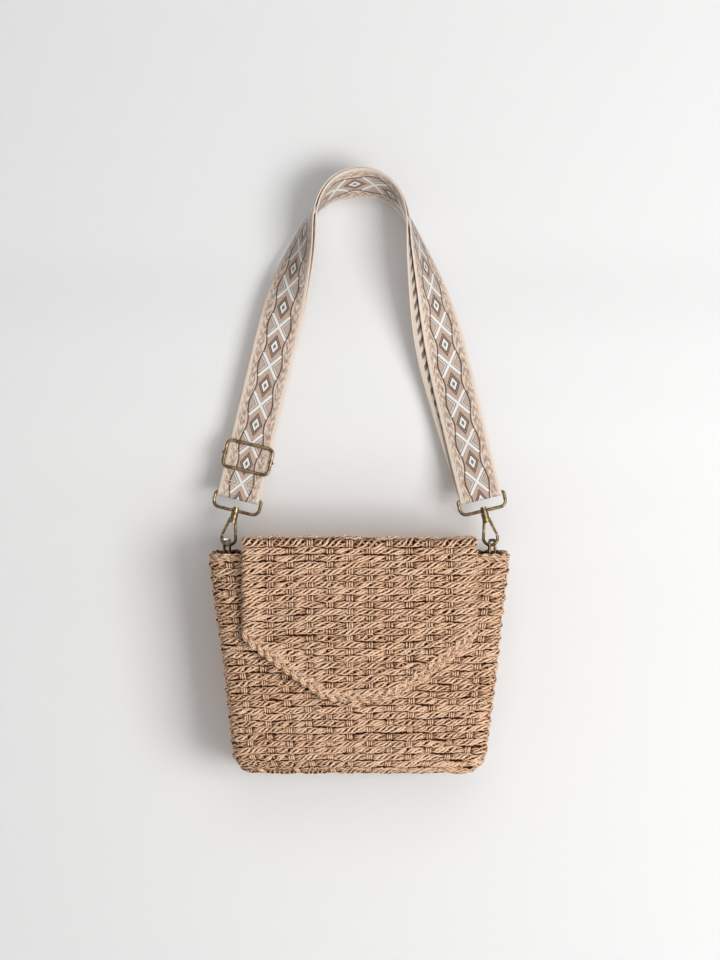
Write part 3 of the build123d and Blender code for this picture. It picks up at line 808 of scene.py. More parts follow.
def lines_piece(name, lines):
    """Lines as a mesh of edges. Each line is (points, lightness of each point with painted shade in it, axis
    of each point, phase).
    """
    points, edges, tones_and_shades, axes, phases, girths = [], [], [], [], [], []
    for index, (line, tone, axis, phase) in enumerate(lines):
        start = len(points)
        points += line
        edges += [(start + i, start + i + 1) for i in range(len(line) - 1)]
        tones_and_shades += tone
        axes += axis
        phases += [phase] * len(line)
        whole = 1 + 0.16 * noise.noise(Vector((index * 1.9, 0.3, 0.7)))
        girths += [whole + 0.26 * wobble(point, 240.0, index % 7) for point in line]
    mesh = bpy.data.meshes.new(name)
    mesh.from_pydata(points, edges, [])
    for label, numbers in (("tone", tones_and_shades), ("phase", phases), ("girth", girths)):
        mesh.attributes.new(label, "FLOAT", "POINT").data.foreach_set("value", numbers)
    spots = [number for axis in axes for number in axis]
    mesh.attributes.new("axis", "FLOAT_VECTOR", "POINT").data.foreach_set("vector", spots)
    return put(mesh, name)


STRAND_PLIES = 2
STRAND_GROOVE = 0.2  # depth of the groove between a strand's plies, as a share of its radius
STRAND_SIDES = 6


def cords(name, lines, radius, step=None):
    """Straw strands along lines."""
    straw = bpy.context.scene.straw
    return shared("rope", rope_tree).run(
        lines_piece(name, lines),
        radius=radius,
        twist=straw.cord_twist,
        step=step or straw.step,
        plies=STRAND_PLIES,
        groove=STRAND_GROOVE,
        sides=STRAND_SIDES,
        material=shared("straw", straw_finish, straw, STRAND_PLIES),
    )


def stitches(name, lines, body):
    """Sewing stitches along lines, riding on a body."""
    lining = bpy.context.scene.lining
    piece = shared("stitches", stitch_tree).run(
        lines_piece(name, [(line, [0.0] * len(line), line, 0.0) for line in lines]),
        material=shared("thread", thread_finish, lining.thread),
    )
    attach(piece, body)
    return piece


def tone_of(index, seed):
    """A repeatable lightness between -1 and 1."""
    return noise.noise(Vector((index * 3.17 + seed, seed * 1.31, 0.5)))


def dip_at(run, pitch, row):
    """How deep a weft lies under an upright: 1 at the upright's middle and 0 away from it."""
    distance = abs((run / pitch + 0.5 + row) % 2 - 1) * pitch
    crossing = noise.noise(Vector((round(run / pitch + 0.5) * 1.37, row * 2.71, 0.4)))
    depth = min(1.0, 0.9 + 0.4 * crossing)
    return depth * math.exp(-((distance / bpy.context.scene.straw.dip_width) ** 2))


def bundle(surface, runs, pitch, row, seed, reach=1.0):
    """The strands of one weft, twisted together and woven over and under the uprights within reach."""
    straw = bpy.context.scene.straw
    lines = []
    start, shade = tone_of(row, seed), 0.35 * tone_of(row * 2 + 1, seed + 5)
    for strand in range(straw.strands):
        line, tones_and_shades, axis = [], [], []
        for run in runs:
            dip = dip_at(run, pitch, row) if abs(run) < reach else 0.0
            crest = dip_at(run, pitch, row + 1)
            uneven = noise.noise(Vector((run * 90, row * 2.3 + seed, strand * 1.7)))
            rise = 1.5 * MM * noise.noise(Vector((run * 52, row * 4.1, seed)))
            turns = run / straw.bundle_twist + strand / straw.strands + start * 2
            angle = 2 * math.pi * turns + uneven * 0.9
            tall = straw.bundle_tall * (1.0 + 0.34 * crest - 0.5 * dip + 0.26 * uneven)
            deep = straw.bundle_deep * (1 - 0.3 * dip)
            swing = straw.weft_swing * (1 - 2 * dip)
            line.append(surface(run, tall * math.sin(angle) + rise, swing + deep * math.cos(angle)))
            axis.append(surface(run, rise, swing - deep * 0.5))
            # painted shade: a weft darkens where it dips under an upright; the rest is random tone
            tones_and_shades.append(shade + 0.2 + 0.5 * uneven - 2.0 * dip)
        lines.append((line, tones_and_shades, axis, strand / straw.strands))
    return lines


def upright(surface, levels, row_of, warp, seed):
    """Three strands of one upright, woven over and under the rows."""
    straw = bpy.context.scene.straw
    lines = []
    for strand in (-1, 0, 1):
        line, tones_and_shades, axis = [], [], []
        for level in levels:
            swing = -math.cos(math.pi * (row_of(level) + warp))
            aside = strand * straw.warp_radius * 2.3 + 0.4 * MM * wobble((warp, strand, level), 60.0, seed)
            place = surface(aside, level, straw.warp_swing * swing - abs(strand) * 0.25 * MM)
            if place is None:
                break
            line.append(place)
            axis.append(surface(aside, level, straw.warp_swing * (swing - 1)))
            # painted shade: an upright darkens where it passes under a row; the rest is random tone
            tones_and_shades.append(0.3 + 2.4 * min(0.0, swing - 0.85) + 0.5 * tone_of(warp + strand * 3, seed))
        if len(line) > 3:
            lines.append((line, tones_and_shades, axis, strand * 0.3))
    return lines


# ---- the bag's surface ---------------------------------------------------------------------------
WEFT_STEP = 1.9 * MM  # distance between a row's points
UPRIGHT_STEP = 1.2 * MM
CLOTH_TOP = WALL_TOP + 4 * MM  # the lining and the dark sheets of painted shade end here, inside the rim
PLAN_RADIUS = 10 * MM
FLAT_FRONT = TOP_HALF - PLAN_RADIUS
CORNER_ARC = PLAN_RADIUS * math.pi / 2
FLAT_SIDE = 2 * (HALF_DEPTH - PLAN_RADIUS)
QUARTERS = [FLAT_FRONT, FLAT_FRONT + CORNER_ARC, FLAT_FRONT + CORNER_ARC + FLAT_SIDE]
HALF_LOOP = QUARTERS[2] + CORNER_ARC + FLAT_FRONT
BASE_ROLL = 8 * MM


def bag_half_width(height):
    """Half the bag's width, to the middle of its weave, with the bottom corners rounded."""
    wide = BASE_HALF + (TOP_HALF - BASE_HALF) * height / WALL_TOP
    if height < CORNER:
        wide -= CORNER - math.sqrt(CORNER**2 - (CORNER - max(height, 0.0)) ** 2)
    return wide


def bag_half_depth(height):
    """Half the bag's depth, to the middle of its weave, rolled in at the base."""
    if height >= BASE_ROLL:
        return HALF_DEPTH
    return HALF_DEPTH - (BASE_ROLL - math.sqrt(BASE_ROLL**2 - (BASE_ROLL - max(height, 0.0)) ** 2))


def snap_dent(x, z):
    """How far the weave is pressed in round the snap's front half."""
    away = math.hypot(x - SNAP_MIDDLE.x, z - SNAP_MIDDLE.z)
    return 3.2 * MM * (1 - ease(away, SNAP_RADIUS, 2 * SNAP_RADIUS))


def bag_point(station, height, out=0.0):
    """A point of the woven wall: the station runs round the bag from the middle of its front, rightwards."""
    around = (station + HALF_LOOP) % (2 * HALF_LOOP) - HALF_LOOP
    sign = -1 if around < 0 else 1
    run = abs(around)
    half, depth = bag_half_width(height), bag_half_depth(height)
    if run < QUARTERS[0]:
        x, y = run * (half - PLAN_RADIUS) / FLAT_FRONT, -depth
        normal = Vector((0, -1, 0))
    elif run < QUARTERS[1]:
        angle = (run - QUARTERS[0]) / PLAN_RADIUS
        normal = Vector((math.sin(angle), -math.cos(angle), 0))
        x = half - PLAN_RADIUS + normal.x * PLAN_RADIUS
        y = -depth + PLAN_RADIUS + normal.y * PLAN_RADIUS
    elif run < QUARTERS[2]:
        x = half
        y = (-depth + PLAN_RADIUS) + (run - QUARTERS[1]) * (depth - PLAN_RADIUS) * 2 / FLAT_SIDE
        normal = Vector((1, 0, 0))
    elif run < QUARTERS[2] + CORNER_ARC:
        angle = (run - QUARTERS[2]) / PLAN_RADIUS
        normal = Vector((math.cos(angle), math.sin(angle), 0))
        x = half - PLAN_RADIUS + normal.x * PLAN_RADIUS
        y = depth - PLAN_RADIUS + normal.y * PLAN_RADIUS
    else:
        x, y = (HALF_LOOP - run) * (half - PLAN_RADIUS) / FLAT_FRONT, depth
        normal = Vector((0, 1, 0))
    x *= sign
    normal.x *= sign
    rise = math.sin(math.pi * min(1.0, max(0.0, height / RIM_TOP)) ** 0.8)
    belly = 2.4 * MM * rise * max(0.0, 1 - (x / TOP_HALF) ** 2) * abs(normal.y)
    flat = max(0.0, 1 - (y / (HALF_DEPTH - PLAN_RADIUS)) ** 2)
    pinch = -4 * MM * ease(height, 60 * MM, RIM_TOP) * abs(normal.x) * flat
    sag = 1.3 * MM * wobble((x, y, height), 14.0, 4.0) * (1 - ease(height, 150 * MM, RIM_TOP) * 0.6)
    dent = snap_dent(x, height) if normal.y < -0.99 else 0.0
    return Vector((x, y, height)) + normal * (out + belly + pinch + sag - dent)


def row_drop(station, height):
    """How far a woven row wanders up or down from level."""
    level = bag_point(station, height)
    slope = 0.012 * level.x * ease(height, 0.0, 50 * MM) * (1 - ease(height, 90 * MM, WALL_TOP))
    return slope + 0.9 * MM * wobble(level, 30.0, 9.0) * ease(height, 0.0, 20 * MM)


def panel_rows():
    """Heights of the woven rows."""
    straw = bpy.context.scene.straw
    return spread(3.3 * MM, WALL_TOP - 2.6 * MM, straw.row_pitch)


def bag_pitch():
    """Distance between the bag's uprights."""
    return 2 * HALF_LOOP / bpy.context.scene.straw.warp_count


def bag_wefts(low, high, rows, seed):
    """Strands of some of the rows between two stations."""
    lines = []
    for row, height in rows:

        def surface(run, rise, out, height=height):
            return bag_point(run, max(1.1 * MM, height + row_drop(run, height) + rise), out)

        lines += bundle(surface, spread(low, high, WEFT_STEP), bag_pitch(), row, seed)
    return lines


def bag_warps(low, high, seed):
    """Uprights between two stations."""
    pitch, rows = bag_pitch(), panel_rows()
    spacing = rows[1] - rows[0]
    lines = []
    for warp in range(math.ceil(low / pitch + 0.5), math.floor(high / pitch + 0.5) + 1):
        station = (warp - 0.5) * pitch

        def surface(aside, height, out, station=station):
            return bag_point(station + aside, height, out)

        def row_of(height, station=station):
            return (height - row_drop(station, height) - rows[0]) / spacing

        lines += upright(surface, spread(2.2 * MM, WALL_TOP - 1 * MM, UPRIGHT_STEP), row_of, warp, seed)
    return lines


def bag_core(name, low, high):
    """A dark sheet of painted shade inside a woven wall."""
    straw = bpy.context.scene.straw
    rows = [
        [bag_point(station, height, -1.0 * MM) for station in spread(low, high, 6 * MM)]
        for height in spread(1.5 * MM, CLOTH_TOP, 7 * MM)
    ]
    sheet = grid_piece(name, rows, shared("gap", painted_shade_finish, straw))
    return thicken(sheet, 0.8 * MM)


WALLS = {
    "front_panel": (-QUARTERS[0] - CORNER_ARC / 2, QUARTERS[0] + CORNER_ARC / 2),
    "gusset_right": (QUARTERS[0] + CORNER_ARC / 2, QUARTERS[2] + CORNER_ARC / 2),
    "back_panel": (QUARTERS[2] + CORNER_ARC / 2, 2 * HALF_LOOP - QUARTERS[2] - CORNER_ARC / 2),
    "gusset_left": (-QUARTERS[2] - CORNER_ARC / 2, -QUARTERS[0] - CORNER_ARC / 2),
}


def make_wall(node, low, high, seed):
    """One woven wall: its wefts in two pieces, and its uprights with the dark sheet of painted shade behind
    them.
    """
    straw = bpy.context.scene.straw
    rows = list(enumerate(panel_rows()))
    middle = len(rows) // 2
    pieces = [
        cords(f"{node}_{name}_wefts", bag_wefts(low, high, part, seed), straw.strand_radius)
        for name, part in (("lower", rows[:middle]), ("upper", rows[middle:]))
    ]
    uprights = cords(f"{node}_uprights", bag_warps(low, high, seed), straw.warp_radius, UPRIGHT_STEP)
    pieces.append(join(f"{node}_uprights", [uprights, bag_core(f"{node}_core", low, high)]))
    for piece in pieces:
        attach(piece, "bag")
        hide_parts(node)


def make_base(seed=21):
    """The woven base, its rows running left to right."""
    straw = bpy.context.scene.straw
    pitch = bag_pitch() * 0.86
    end = bag_half_width(WALL / 2) + 0.5 * MM
    side = HALF_DEPTH - 6.5 * MM

    def base_point(x, y, out):
        shallow = 0.9 * MM * math.cos(math.pi * x / (2 * end)) * math.cos(math.pi * y / (2 * side))
        return Vector((x, y, 4.3 * MM + shallow - out * 0.85))

    lines = []
    levels = spread(-side, side, straw.row_pitch)
    for row, y in enumerate(levels):

        def surface(x, rise, out, y=y):
            return base_point(x, y + rise, out)

        lines += bundle(surface, spread(-end, end, WEFT_STEP), pitch, row, seed)
    wefts = cords("base_panel_wefts", lines, straw.strand_radius)

    spacing = levels[1] - levels[0]
    lines = []
    for warp in range(math.ceil(-end / pitch + 0.5), math.floor(end / pitch + 0.5) + 1):
        x = (warp - 0.5) * pitch
        lines += upright(
            lambda aside, y, out, x=x: base_point(x + aside, y, out),
            spread(-side - 2 * MM, side + 2 * MM, UPRIGHT_STEP),
            lambda y: (y + side) / spacing,
            warp,
            seed,
        )
    uprights = cords("base_panel_uprights", lines, straw.warp_radius, UPRIGHT_STEP)
    rows = [
        [base_point(x, y, -0.8 * MM) for x in spread(-end, end, 8 * MM)]
        for y in spread(-side - 3 * MM, side + 3 * MM, 8 * MM)
    ]
    # the base's dark core sheet is painted shade behind the weave
    core = thicken(grid_piece("base_core", rows, shared("gap", painted_shade_finish, straw)), 0.8 * MM)
    for piece in (wefts, join("base_panel_uprights", [uprights, core])):
        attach(piece, "bag")
        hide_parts("base_panel")


# ---- plaits --------------------------------------------------------------------------------------
def plait_lines(route, width, depth, pitch, seed, closed=False, plies=4, thick=1.2 * MM, shaded=0.0):
    """Three bundles plaited along a route of (place, across, outward) stations a small step apart."""
    lengths = [0.0]
    for (here, _, _), (there, _, _) in zip(route, route[1:]):
        lengths.append(lengths[-1] + (there - here).length)
    if closed:
        pitch = lengths[-1] / max(1, round(lengths[-1] / pitch))
    lines = []
    for cord in range(3):
        for ply in range(plies):
            line, tones_and_shades, axis = [], [], []
            for run, (place, across, outward) in zip(lengths, route):
                angle = 2 * math.pi * (run / pitch + cord / 3)
                turn = 2 * math.pi * (run / (24 * MM) + ply / plies + cord * 0.4)
                aside = width * math.sin(angle) + thick * math.cos(turn)
                lift = depth * math.sin(2 * angle)
                line.append(place + across * aside + outward * (lift + thick * math.sin(turn)))
                axis.append(place + across * width * math.sin(angle) + outward * (lift - thick * 0.4))
                # painted light and shade: each cord is lighter where it lifts outward and darker where it
                # sinks, and darkens towards the back of the bag by shaded; tone_of adds random tone
                shade = shaded * ease(place.y, -HALF_DEPTH, 0.0)
                tones_and_shades.append(0.1 + 0.5 * lift / depth + 0.3 * tone_of(cord * 5 + ply, seed) - shade)
            lines.append((line, tones_and_shades, axis, ply / plies))
    return lines


def rim_route():
    """The mouth's edge, once round the bag, a little higher along the back."""
    route = []
    height = (WALL_TOP + RIM_TOP) / 2 - 0.2 * MM
    for station in spread(-HALF_LOOP, HALF_LOOP, 1.6 * MM):
        place = bag_point(station, height)
        out = bag_point(station, height, 1 * MM) - place
        lift = 0.6 * MM * wobble(place, 30.0, 2.0) + 2.0 * MM * ease(place.y, 0.0, HALF_DEPTH)
        route.append((place + Vector((0, 0, lift)), Vector((0, 0, 1)), out.normalized()))
    return route


# ---- the flap's surface --------------------------------------------------------------------------
REAR_RISE = 4.3 * MM
REAR_BEND = 4.0 * MM
FRONT_BEND = 5.0 * MM
FLAP_REAR_Y = HALF_DEPTH + 0.5 * MM
TOP_RUN = (FLAP_REAR_Y - REAR_BEND) - (FLAP_Y + FRONT_BEND)
FLAP_STATIONS = [REAR_RISE]
FLAP_STATIONS.append(FLAP_STATIONS[-1] + REAR_BEND * math.pi / 2)
FLAP_STATIONS.append(FLAP_STATIONS[-1] + TOP_RUN)
FLAP_STATIONS.append(FLAP_STATIONS[-1] + FRONT_BEND * math.pi / 2)
DROP = FLAP_TOP_Z - FRONT_BEND - FLAP_TIP_Z
FLAP_END = FLAP_STATIONS[-1] + DROP
SPLIT = FLAP_STATIONS[2] - 8 * MM  # the flap's two parts meet here, just behind the fold


def flap_point(x, station, out=0.0):
    """A point of the flap: the station runs from the back rim, over the mouth and down the front."""
    if station < FLAP_STATIONS[0]:
        y, z, angle = FLAP_REAR_Y, FLAP_TOP_Z - REAR_BEND - REAR_RISE + station, 0.0
    elif station < FLAP_STATIONS[1]:
        angle = (station - FLAP_STATIONS[0]) / REAR_BEND
        y = FLAP_REAR_Y - REAR_BEND * (1 - math.cos(angle))
        z = FLAP_TOP_Z - REAR_BEND + REAR_BEND * math.sin(angle)
    elif station < FLAP_STATIONS[2]:
        y, z, angle = FLAP_REAR_Y - REAR_BEND - (station - FLAP_STATIONS[1]), FLAP_TOP_Z, math.pi / 2
    elif station < FLAP_STATIONS[3]:
        turn = (station - FLAP_STATIONS[2]) / FRONT_BEND
        angle = math.pi / 2 + turn
        y = FLAP_Y + FRONT_BEND * (1 - math.sin(turn))
        z = FLAP_TOP_Z - FRONT_BEND * (1 - math.cos(turn))
    else:
        y, z, angle = FLAP_Y, FLAP_TOP_Z - FRONT_BEND - (station - FLAP_STATIONS[3]), math.pi
    share = (station - FLAP_STATIONS[1]) / TOP_RUN
    arch = -1.8 * MM * (1 - min(1.0, max(0.0, share))) * ease(station, 0.0, 8 * MM)
    arch += 2.0 * MM * math.exp(-(((station - FLAP_STATIONS[2] - 2 * MM) / (4 * MM)) ** 2))
    down = max(0.0, (station - FLAP_STATIONS[3]) / DROP)
    lie = -1.3 * MM * down * down
    sag = 0.9 * MM * wobble((x, y, z), 16.0, 6.0)
    ruffle = 1.1 * MM * wobble((x, y * 0.25, z * 0.25), 75.0, 8.0) * (1 - down)
    normal = Vector((0, math.cos(angle), math.sin(angle)))
    return Vector((x, y, z)) + normal * (out + arch + lie + sag + ruffle)


def flap_half(station):
    """Half the flap's width at a station."""
    z = FLAP_TOP_Z - FRONT_BEND - (station - FLAP_STATIONS[3])
    if z >= FLAP_SHOULDER_Z:
        return FLAP_HALF
    share = (z - FLAP_TIP_Z) / (FLAP_SHOULDER_Z - FLAP_TIP_Z)
    return FLAP_TIP_HALF + (FLAP_HALF - FLAP_TIP_HALF) * max(0.0, share)


FLAP_WARP_PITCH = 17.6 * MM
FLAP_ROW_PITCH = 6.0 * MM
FLAP_FIRST_ROW = 3.2 * MM
SEWN_IN = 5 * MM  # how far the flap's back edge goes down inside the rim
EDGE_TURN = 2.4 * MM
ROW_RETURN = 11 * MM  # how far a row runs on round the edge and back under the flap
SIDE_EDGE = FLAP_HALF - 2.6 * MM
LAST_WARP = SIDE_EDGE - 14 * MM  # no upright stands further from the flap's middle
PLAIT_INSET = 9.5 * MM
CLOTH_INSET = 6.5 * MM


def flap_rows():
    """Numbered stations of the flap's rows, from the row sewn into the back rim to the tip."""
    last = FLAP_END - PLAIT_INSET
    sewn_in = (-1, FLAP_FIRST_ROW - FLAP_ROW_PITCH)
    return [sewn_in] + list(enumerate(spread(FLAP_FIRST_ROW, last, FLAP_ROW_PITCH)))


def flap_row_end(station):
    """Where a row turns back: at the flap's side edge, or inside its plaited border lower down."""
    half = flap_half(station)
    return SIDE_EDGE if half >= FLAP_HALF else min(SIDE_EDGE, half - PLAIT_INSET + 2.5 * MM)


def flap_wefts(low, high, seed):
    """Strands of the flap's rows between two stations; each row turns round the edge at its ends."""
    lines = []
    for row, station in flap_rows():
        if not low <= station < high:
            continue
        end = flap_row_end(station)

        def surface(run, rise, out, station=station, end=end):
            place = station - rise + 1.0 * MM * wobble((run, station, 0), 32.0, 3.0)
            over = abs(run) - end
            if over <= 0:
                return flap_point(run, place, out)
            turn = min(math.pi, over / EDGE_TURN)
            x = end + out * math.sin(turn) - max(0.0, over - math.pi * EDGE_TURN)
            return flap_point(math.copysign(x, run), place, out * math.cos(turn))

        runs = spread(-end - ROW_RETURN, end + ROW_RETURN, WEFT_STEP)
        reach = min(end - 3 * MM, LAST_WARP)
        lines += bundle(surface, runs, FLAP_WARP_PITCH, row, seed, reach)
    return lines


def flap_warps(low, high, seed):
    """Long strands of the flap between two stations."""
    spacing = flap_rows()[2][1] - FLAP_FIRST_ROW
    count = math.floor(LAST_WARP / FLAP_WARP_PITCH + 0.5)
    lines = []
    for warp in range(1 - count, count + 1):
        x = (warp - 0.5) * FLAP_WARP_PITCH

        def surface(aside, station, out, x=x):
            if abs(x + aside) > flap_half(station) - PLAIT_INSET + 4 * MM:
                return None
            return flap_point(x + aside, station, out)

        def row_of(station):
            return (station - FLAP_FIRST_ROW) / spacing

        lines += upright(surface, spread(low, high, UPRIGHT_STEP), row_of, warp, seed)
    return lines


def flap_sheet(name, low, high, out, inset, material, thickness):
    """A sheet that follows the flap between two stations, drawn in from its edge."""
    rows = []
    for station in spread(low, high, 5 * MM):
        half = flap_half(station) - inset
        rows.append([flap_point(half * share / 12, station, out) for share in range(-12, 13)])
    return thicken(grid_piece(name, rows, material), thickness)


def corner_cut(points, rounds=3):
    """Rounds a line's corners by cutting them, again and again."""
    for _ in range(rounds):
        cut = [points[0]]
        for here, there in zip(points, points[1:]):
            cut += [here.lerp(there, 0.25), here.lerp(there, 0.75)]
        points = cut + [points[-1]]
    return points


def flap_border_route():
    """The flap's slanting edges and tip as plaited, from one shoulder to the other."""
    edge = 5.6 * MM
    shoulder = FLAP_STATIONS[3] + (FLAP_TOP_Z - FRONT_BEND - FLAP_SHOULDER_Z)
    tip = FLAP_END - edge
    outline = [
        Vector((-FLAP_HALF + edge * 0.9, shoulder - 4 * MM, 0)),
        Vector((-FLAP_HALF + edge, shoulder + 4 * MM, 0)),
        Vector((-FLAP_HALF * 0.8, shoulder + 16 * MM, 0)),
        Vector((-FLAP_TIP_HALF - 4 * MM, tip - 5 * MM, 0)),
        Vector((-FLAP_TIP_HALF + 9 * MM, tip, 0)),
    ]
    outline += [Vector((-point.x, point.y, 0)) for point in reversed(outline)]
    outline = corner_cut(outline)
    route = []
    for here, there in zip(outline, outline[1:]):
        steps = max(1, round((there - here).length / (1.6 * MM)))
        route += [here.lerp(there, step / steps) for step in range(steps)]
    route.append(outline[-1])
    return surface_route(route)


def surface_route(route):
    """Lifts a line of (x, station) points on to the flap, with its directions across and outward."""
    lifted = []
    for index, here in enumerate(route):
        before, after = route[max(0, index - 1)], route[min(len(route) - 1, index + 1)]
        along = (flap_point(after.x, after.y) - flap_point(before.x, before.y)).normalized()
        place = flap_point(here.x, here.y)
        outward = (flap_point(here.x, here.y, 1 * MM) - place).normalized()
        lifted.append((place, along.cross(outward).normalized(), outward))
    return lifted


# ---- the strap -----------------------------------------------------------------------------------
BOW = {side: Vector((side * HOOK_X, 0, HOOK_Z)) for side in (-1, 1)}
TOP_BAR = (joint_place("ring_right_tilt") - BOW[1]).length
CROWN_RADIUS = 51.3 * MM
CROWN_Z = 477.3 * MM
CROWN_TWIST = math.radians(123)
TWIST_RUN = {-1: 165 * MM, 1: 210 * MM}
LAYER_HALF_GAP = 2.0 * MM
BAR_WRAP = 2.5 * MM
BACK_LAYER_Y = 3.4 * MM
BACK_LAYER_DRIFT = 8 * MM
LEG_LENGTH = (CROWN_Z - HOOK_Z) * math.cos(LEAN) + HOOK_X * math.sin(LEAN)
CROWN_STATION = LEG_LENGTH + CROWN_RADIUS * (math.pi / 2 - LEAN)
SLIDER_STATION = 80.7 * MM
SLACK_STATION = 190 * MM  # the back layer gives way between the slider and here as the slider moves
TAIL_STATION = 60 * MM


def up_leg(side):
    """Direction up one leg of the strap."""
    return Vector((-side * math.sin(LEAN), 0, math.cos(LEAN)))


def across_leg(side):
    """Direction across one leg, to the right."""
    return Vector((math.cos(LEAN), 0, side * math.sin(LEAN)))


def strap_station(station, side):
    """Middle of the strap, its direction of travel and its outward direction, from a hook to the crown."""
    over = station - LEG_LENGTH
    from_crown = CROWN_STATION - station
    shoulder = math.exp(-(((from_crown - 66 * MM) / (46 * MM)) ** 2)) * ease(from_crown, 0.0, 50 * MM)
    narrow = Vector((-side * 4.5 * MM * shoulder, 0, 0))
    if over <= 0:
        outward = Vector((side * math.cos(LEAN), 0, math.sin(LEAN)))
        return BOW[side] + up_leg(side) * station + narrow, up_leg(side), outward
    angle = LEAN + over / CROWN_RADIUS
    outward = Vector((side * math.cos(angle), 0, math.sin(angle)))
    travel = Vector((-side * math.sin(angle), 0, math.cos(angle)))
    return Vector((0, 0, CROWN_Z)) + outward * CROWN_RADIUS + narrow, travel, outward


def twist_at(station, side):
    """How far the webbing's front face has turned from the viewer to the outside."""
    from_crown = CROWN_STATION - station
    eased = math.sqrt(from_crown**2 + (12 * MM) ** 2) - 12 * MM
    return CROWN_TWIST * max(0.0, 1 - eased / TWIST_RUN[side]) ** 1.25


def layer_offset(station, side, front):
    """How far a layer's middle stands from the strap's middle."""
    if side < 0:
        full = BAR_WRAP if front else BACK_LAYER_Y
        apart = full + (LAYER_HALF_GAP - full) * ease(station, 145 * MM, 205 * MM)
    else:
        apart = BAR_WRAP + (LAYER_HALF_GAP - BAR_WRAP) * ease(station, TOP_BAR, 115 * MM)
    return apart if front else -apart


def leg_section(station, side, front):
    """Place, direction across and front face of one layer at a station."""
    point, travel, outward = strap_station(station, side)
    angle = twist_at(station, side) * (1.0 if front else 1.05)
    face = Vector((0, -1, 0)) * math.cos(angle) + outward * math.sin(angle)
    across = face.cross(travel)
    place = point + face * layer_offset(station, side, front)
    if side > 0 and not front:
        share = (station - TOP_BAR) / (CROWN_STATION - TOP_BAR)
        place += across * BACK_LAYER_DRIFT * math.sin(math.pi * share)
    return place, across, face


def wrap_sections(side, radius, station, y):
    """Sections round a bar, from its front, underneath, to its back."""
    centre = BOW[side] + up_leg(side) * station + Vector((0, y, 0))
    sections = []
    for degree in range(0, 181, 15):
        turn = math.radians(degree)
        away = Vector((0, -1, 0)) * math.cos(turn) - up_leg(side) * math.sin(turn)
        sections.append((centre + away * radius, -across_leg(side), away))
    return sections


def leg_sections(side, front, low, high):
    """Sections of one layer from a low station to a high one."""
    return [leg_section(station, side, front) for station in spread(low, high, 2.5 * MM)]


def ribbon(name, sections, width, thickness, material, fine=18):
    """A flat ribbon with rounded edges, through sections of (place, across, face on the pattern's side)."""
    half, thick = width / 2, thickness / 2
    profile = []
    for step in range(fine + 1):
        u = step / fine
        profile.append(((u - 0.5) * (width - thickness), thick, u))
    profile.append((half - thick * 0.3, thick * 0.55, 1.0))
    profile.append((half, 0.0, 1.0))
    profile.append((half - thick * 0.3, -thick * 0.55, 1.0))
    for step in range(fine, -1, -1):
        u = step / fine
        profile.append(((u - 0.5) * (width - thickness), -thick, 2.0 + u))
    profile.append((-half + thick * 0.3, -thick * 0.55, 0.0))
    profile.append((-half, 0.0, 0.0))
    profile.append((-half + thick * 0.3, thick * 0.55, 0.0))
    wide = len(profile)
    points, runs, run = [], [], 0.0
    for index, (place, across, face) in enumerate(sections):
        if index:
            run += (place - sections[index - 1][0]).length
        runs.append(run)
        scallop = 0.12 * MM * math.sin(run / (1.1 * MM))
        for x, y, _ in profile:
            edge = scallop if abs(x) > half * 0.96 else 0.0
            points.append(place + across * (x + math.copysign(edge, x)) + face * y)
    faces, uvs = [], []
    last = fine + 3
    for r in range(len(sections) - 1):
        for c in range(wide):
            n = (c + 1) % wide
            faces.append((r * wide + c, r * wide + n, (r + 1) * wide + n, (r + 1) * wide + c))
            low, high = profile[c][2], profile[n][2]
            if c == last or n == fine + 4:
                low, high = 1.0, 1.0
            elif abs(low - high) > 0.5:
                low = high = 0.0
            uvs += [(low, runs[r]), (high, runs[r]), (high, runs[r + 1]), (low, runs[r + 1])]
    for ring, base in ((range(wide - 1, -1, -1), 0), (range(wide), (len(sections) - 1) * wide)):
        faces.append([base + c for c in ring])
        uvs += [(1.0, runs[0] if base == 0 else runs[-1])] * wide
    mesh = bpy.data.meshes.new(name)
    mesh.from_pydata(points, [], faces)
    layer = mesh.uv_layers.new(name="webbing")
    layer.data.foreach_set("uv", [number for uv in uvs for number in uv])
    mesh.materials.append(material)
    piece = put(mesh, name)
    outward_check(piece)
    return smooth(piece)


def outward_check(piece):
    """Turns every face outwards."""
    build = bmesh.new()
    build.from_mesh(piece.data)
    bmesh.ops.recalc_face_normals(build, faces=build.faces)
    build.to_mesh(piece.data)
    build.free()


def turned_back(sections):
    """The same sections met from the other end."""
    return sections[::-1]


# ---- operators -----------------------------------------------------------------------------------
class PURSE_OT_walls(bpy.types.Operator):
    """Weave the four walls and the base"""

    bl_idname = "purse.walls"
    bl_label = "Woven walls"

    def execute(self, context):
        for seed, (node, (low, high)) in enumerate(WALLS.items()):
            make_wall(node, low, high, seed * 11 + 1)
        make_base()
        return {"FINISHED"}


class PURSE_OT_rim(bpy.types.Operator):
    """Plait the rim round the mouth"""

    bl_idname = "purse.rim"
    bl_label = "Plaited rim"

    def execute(self, context):
        # the last number, 0.85, is painted shade that darkens the back of the rim plait
        lines = plait_lines(rim_route(), 2.3 * MM, 1.5 * MM, 26 * MM, 5, True, 3, 1.0 * MM, 0.85)
        rim = cords("mouth_plait", lines, 0.98 * MM)
        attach(rim, "bag")
        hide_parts("mouth_braid")
        return {"FINISHED"}


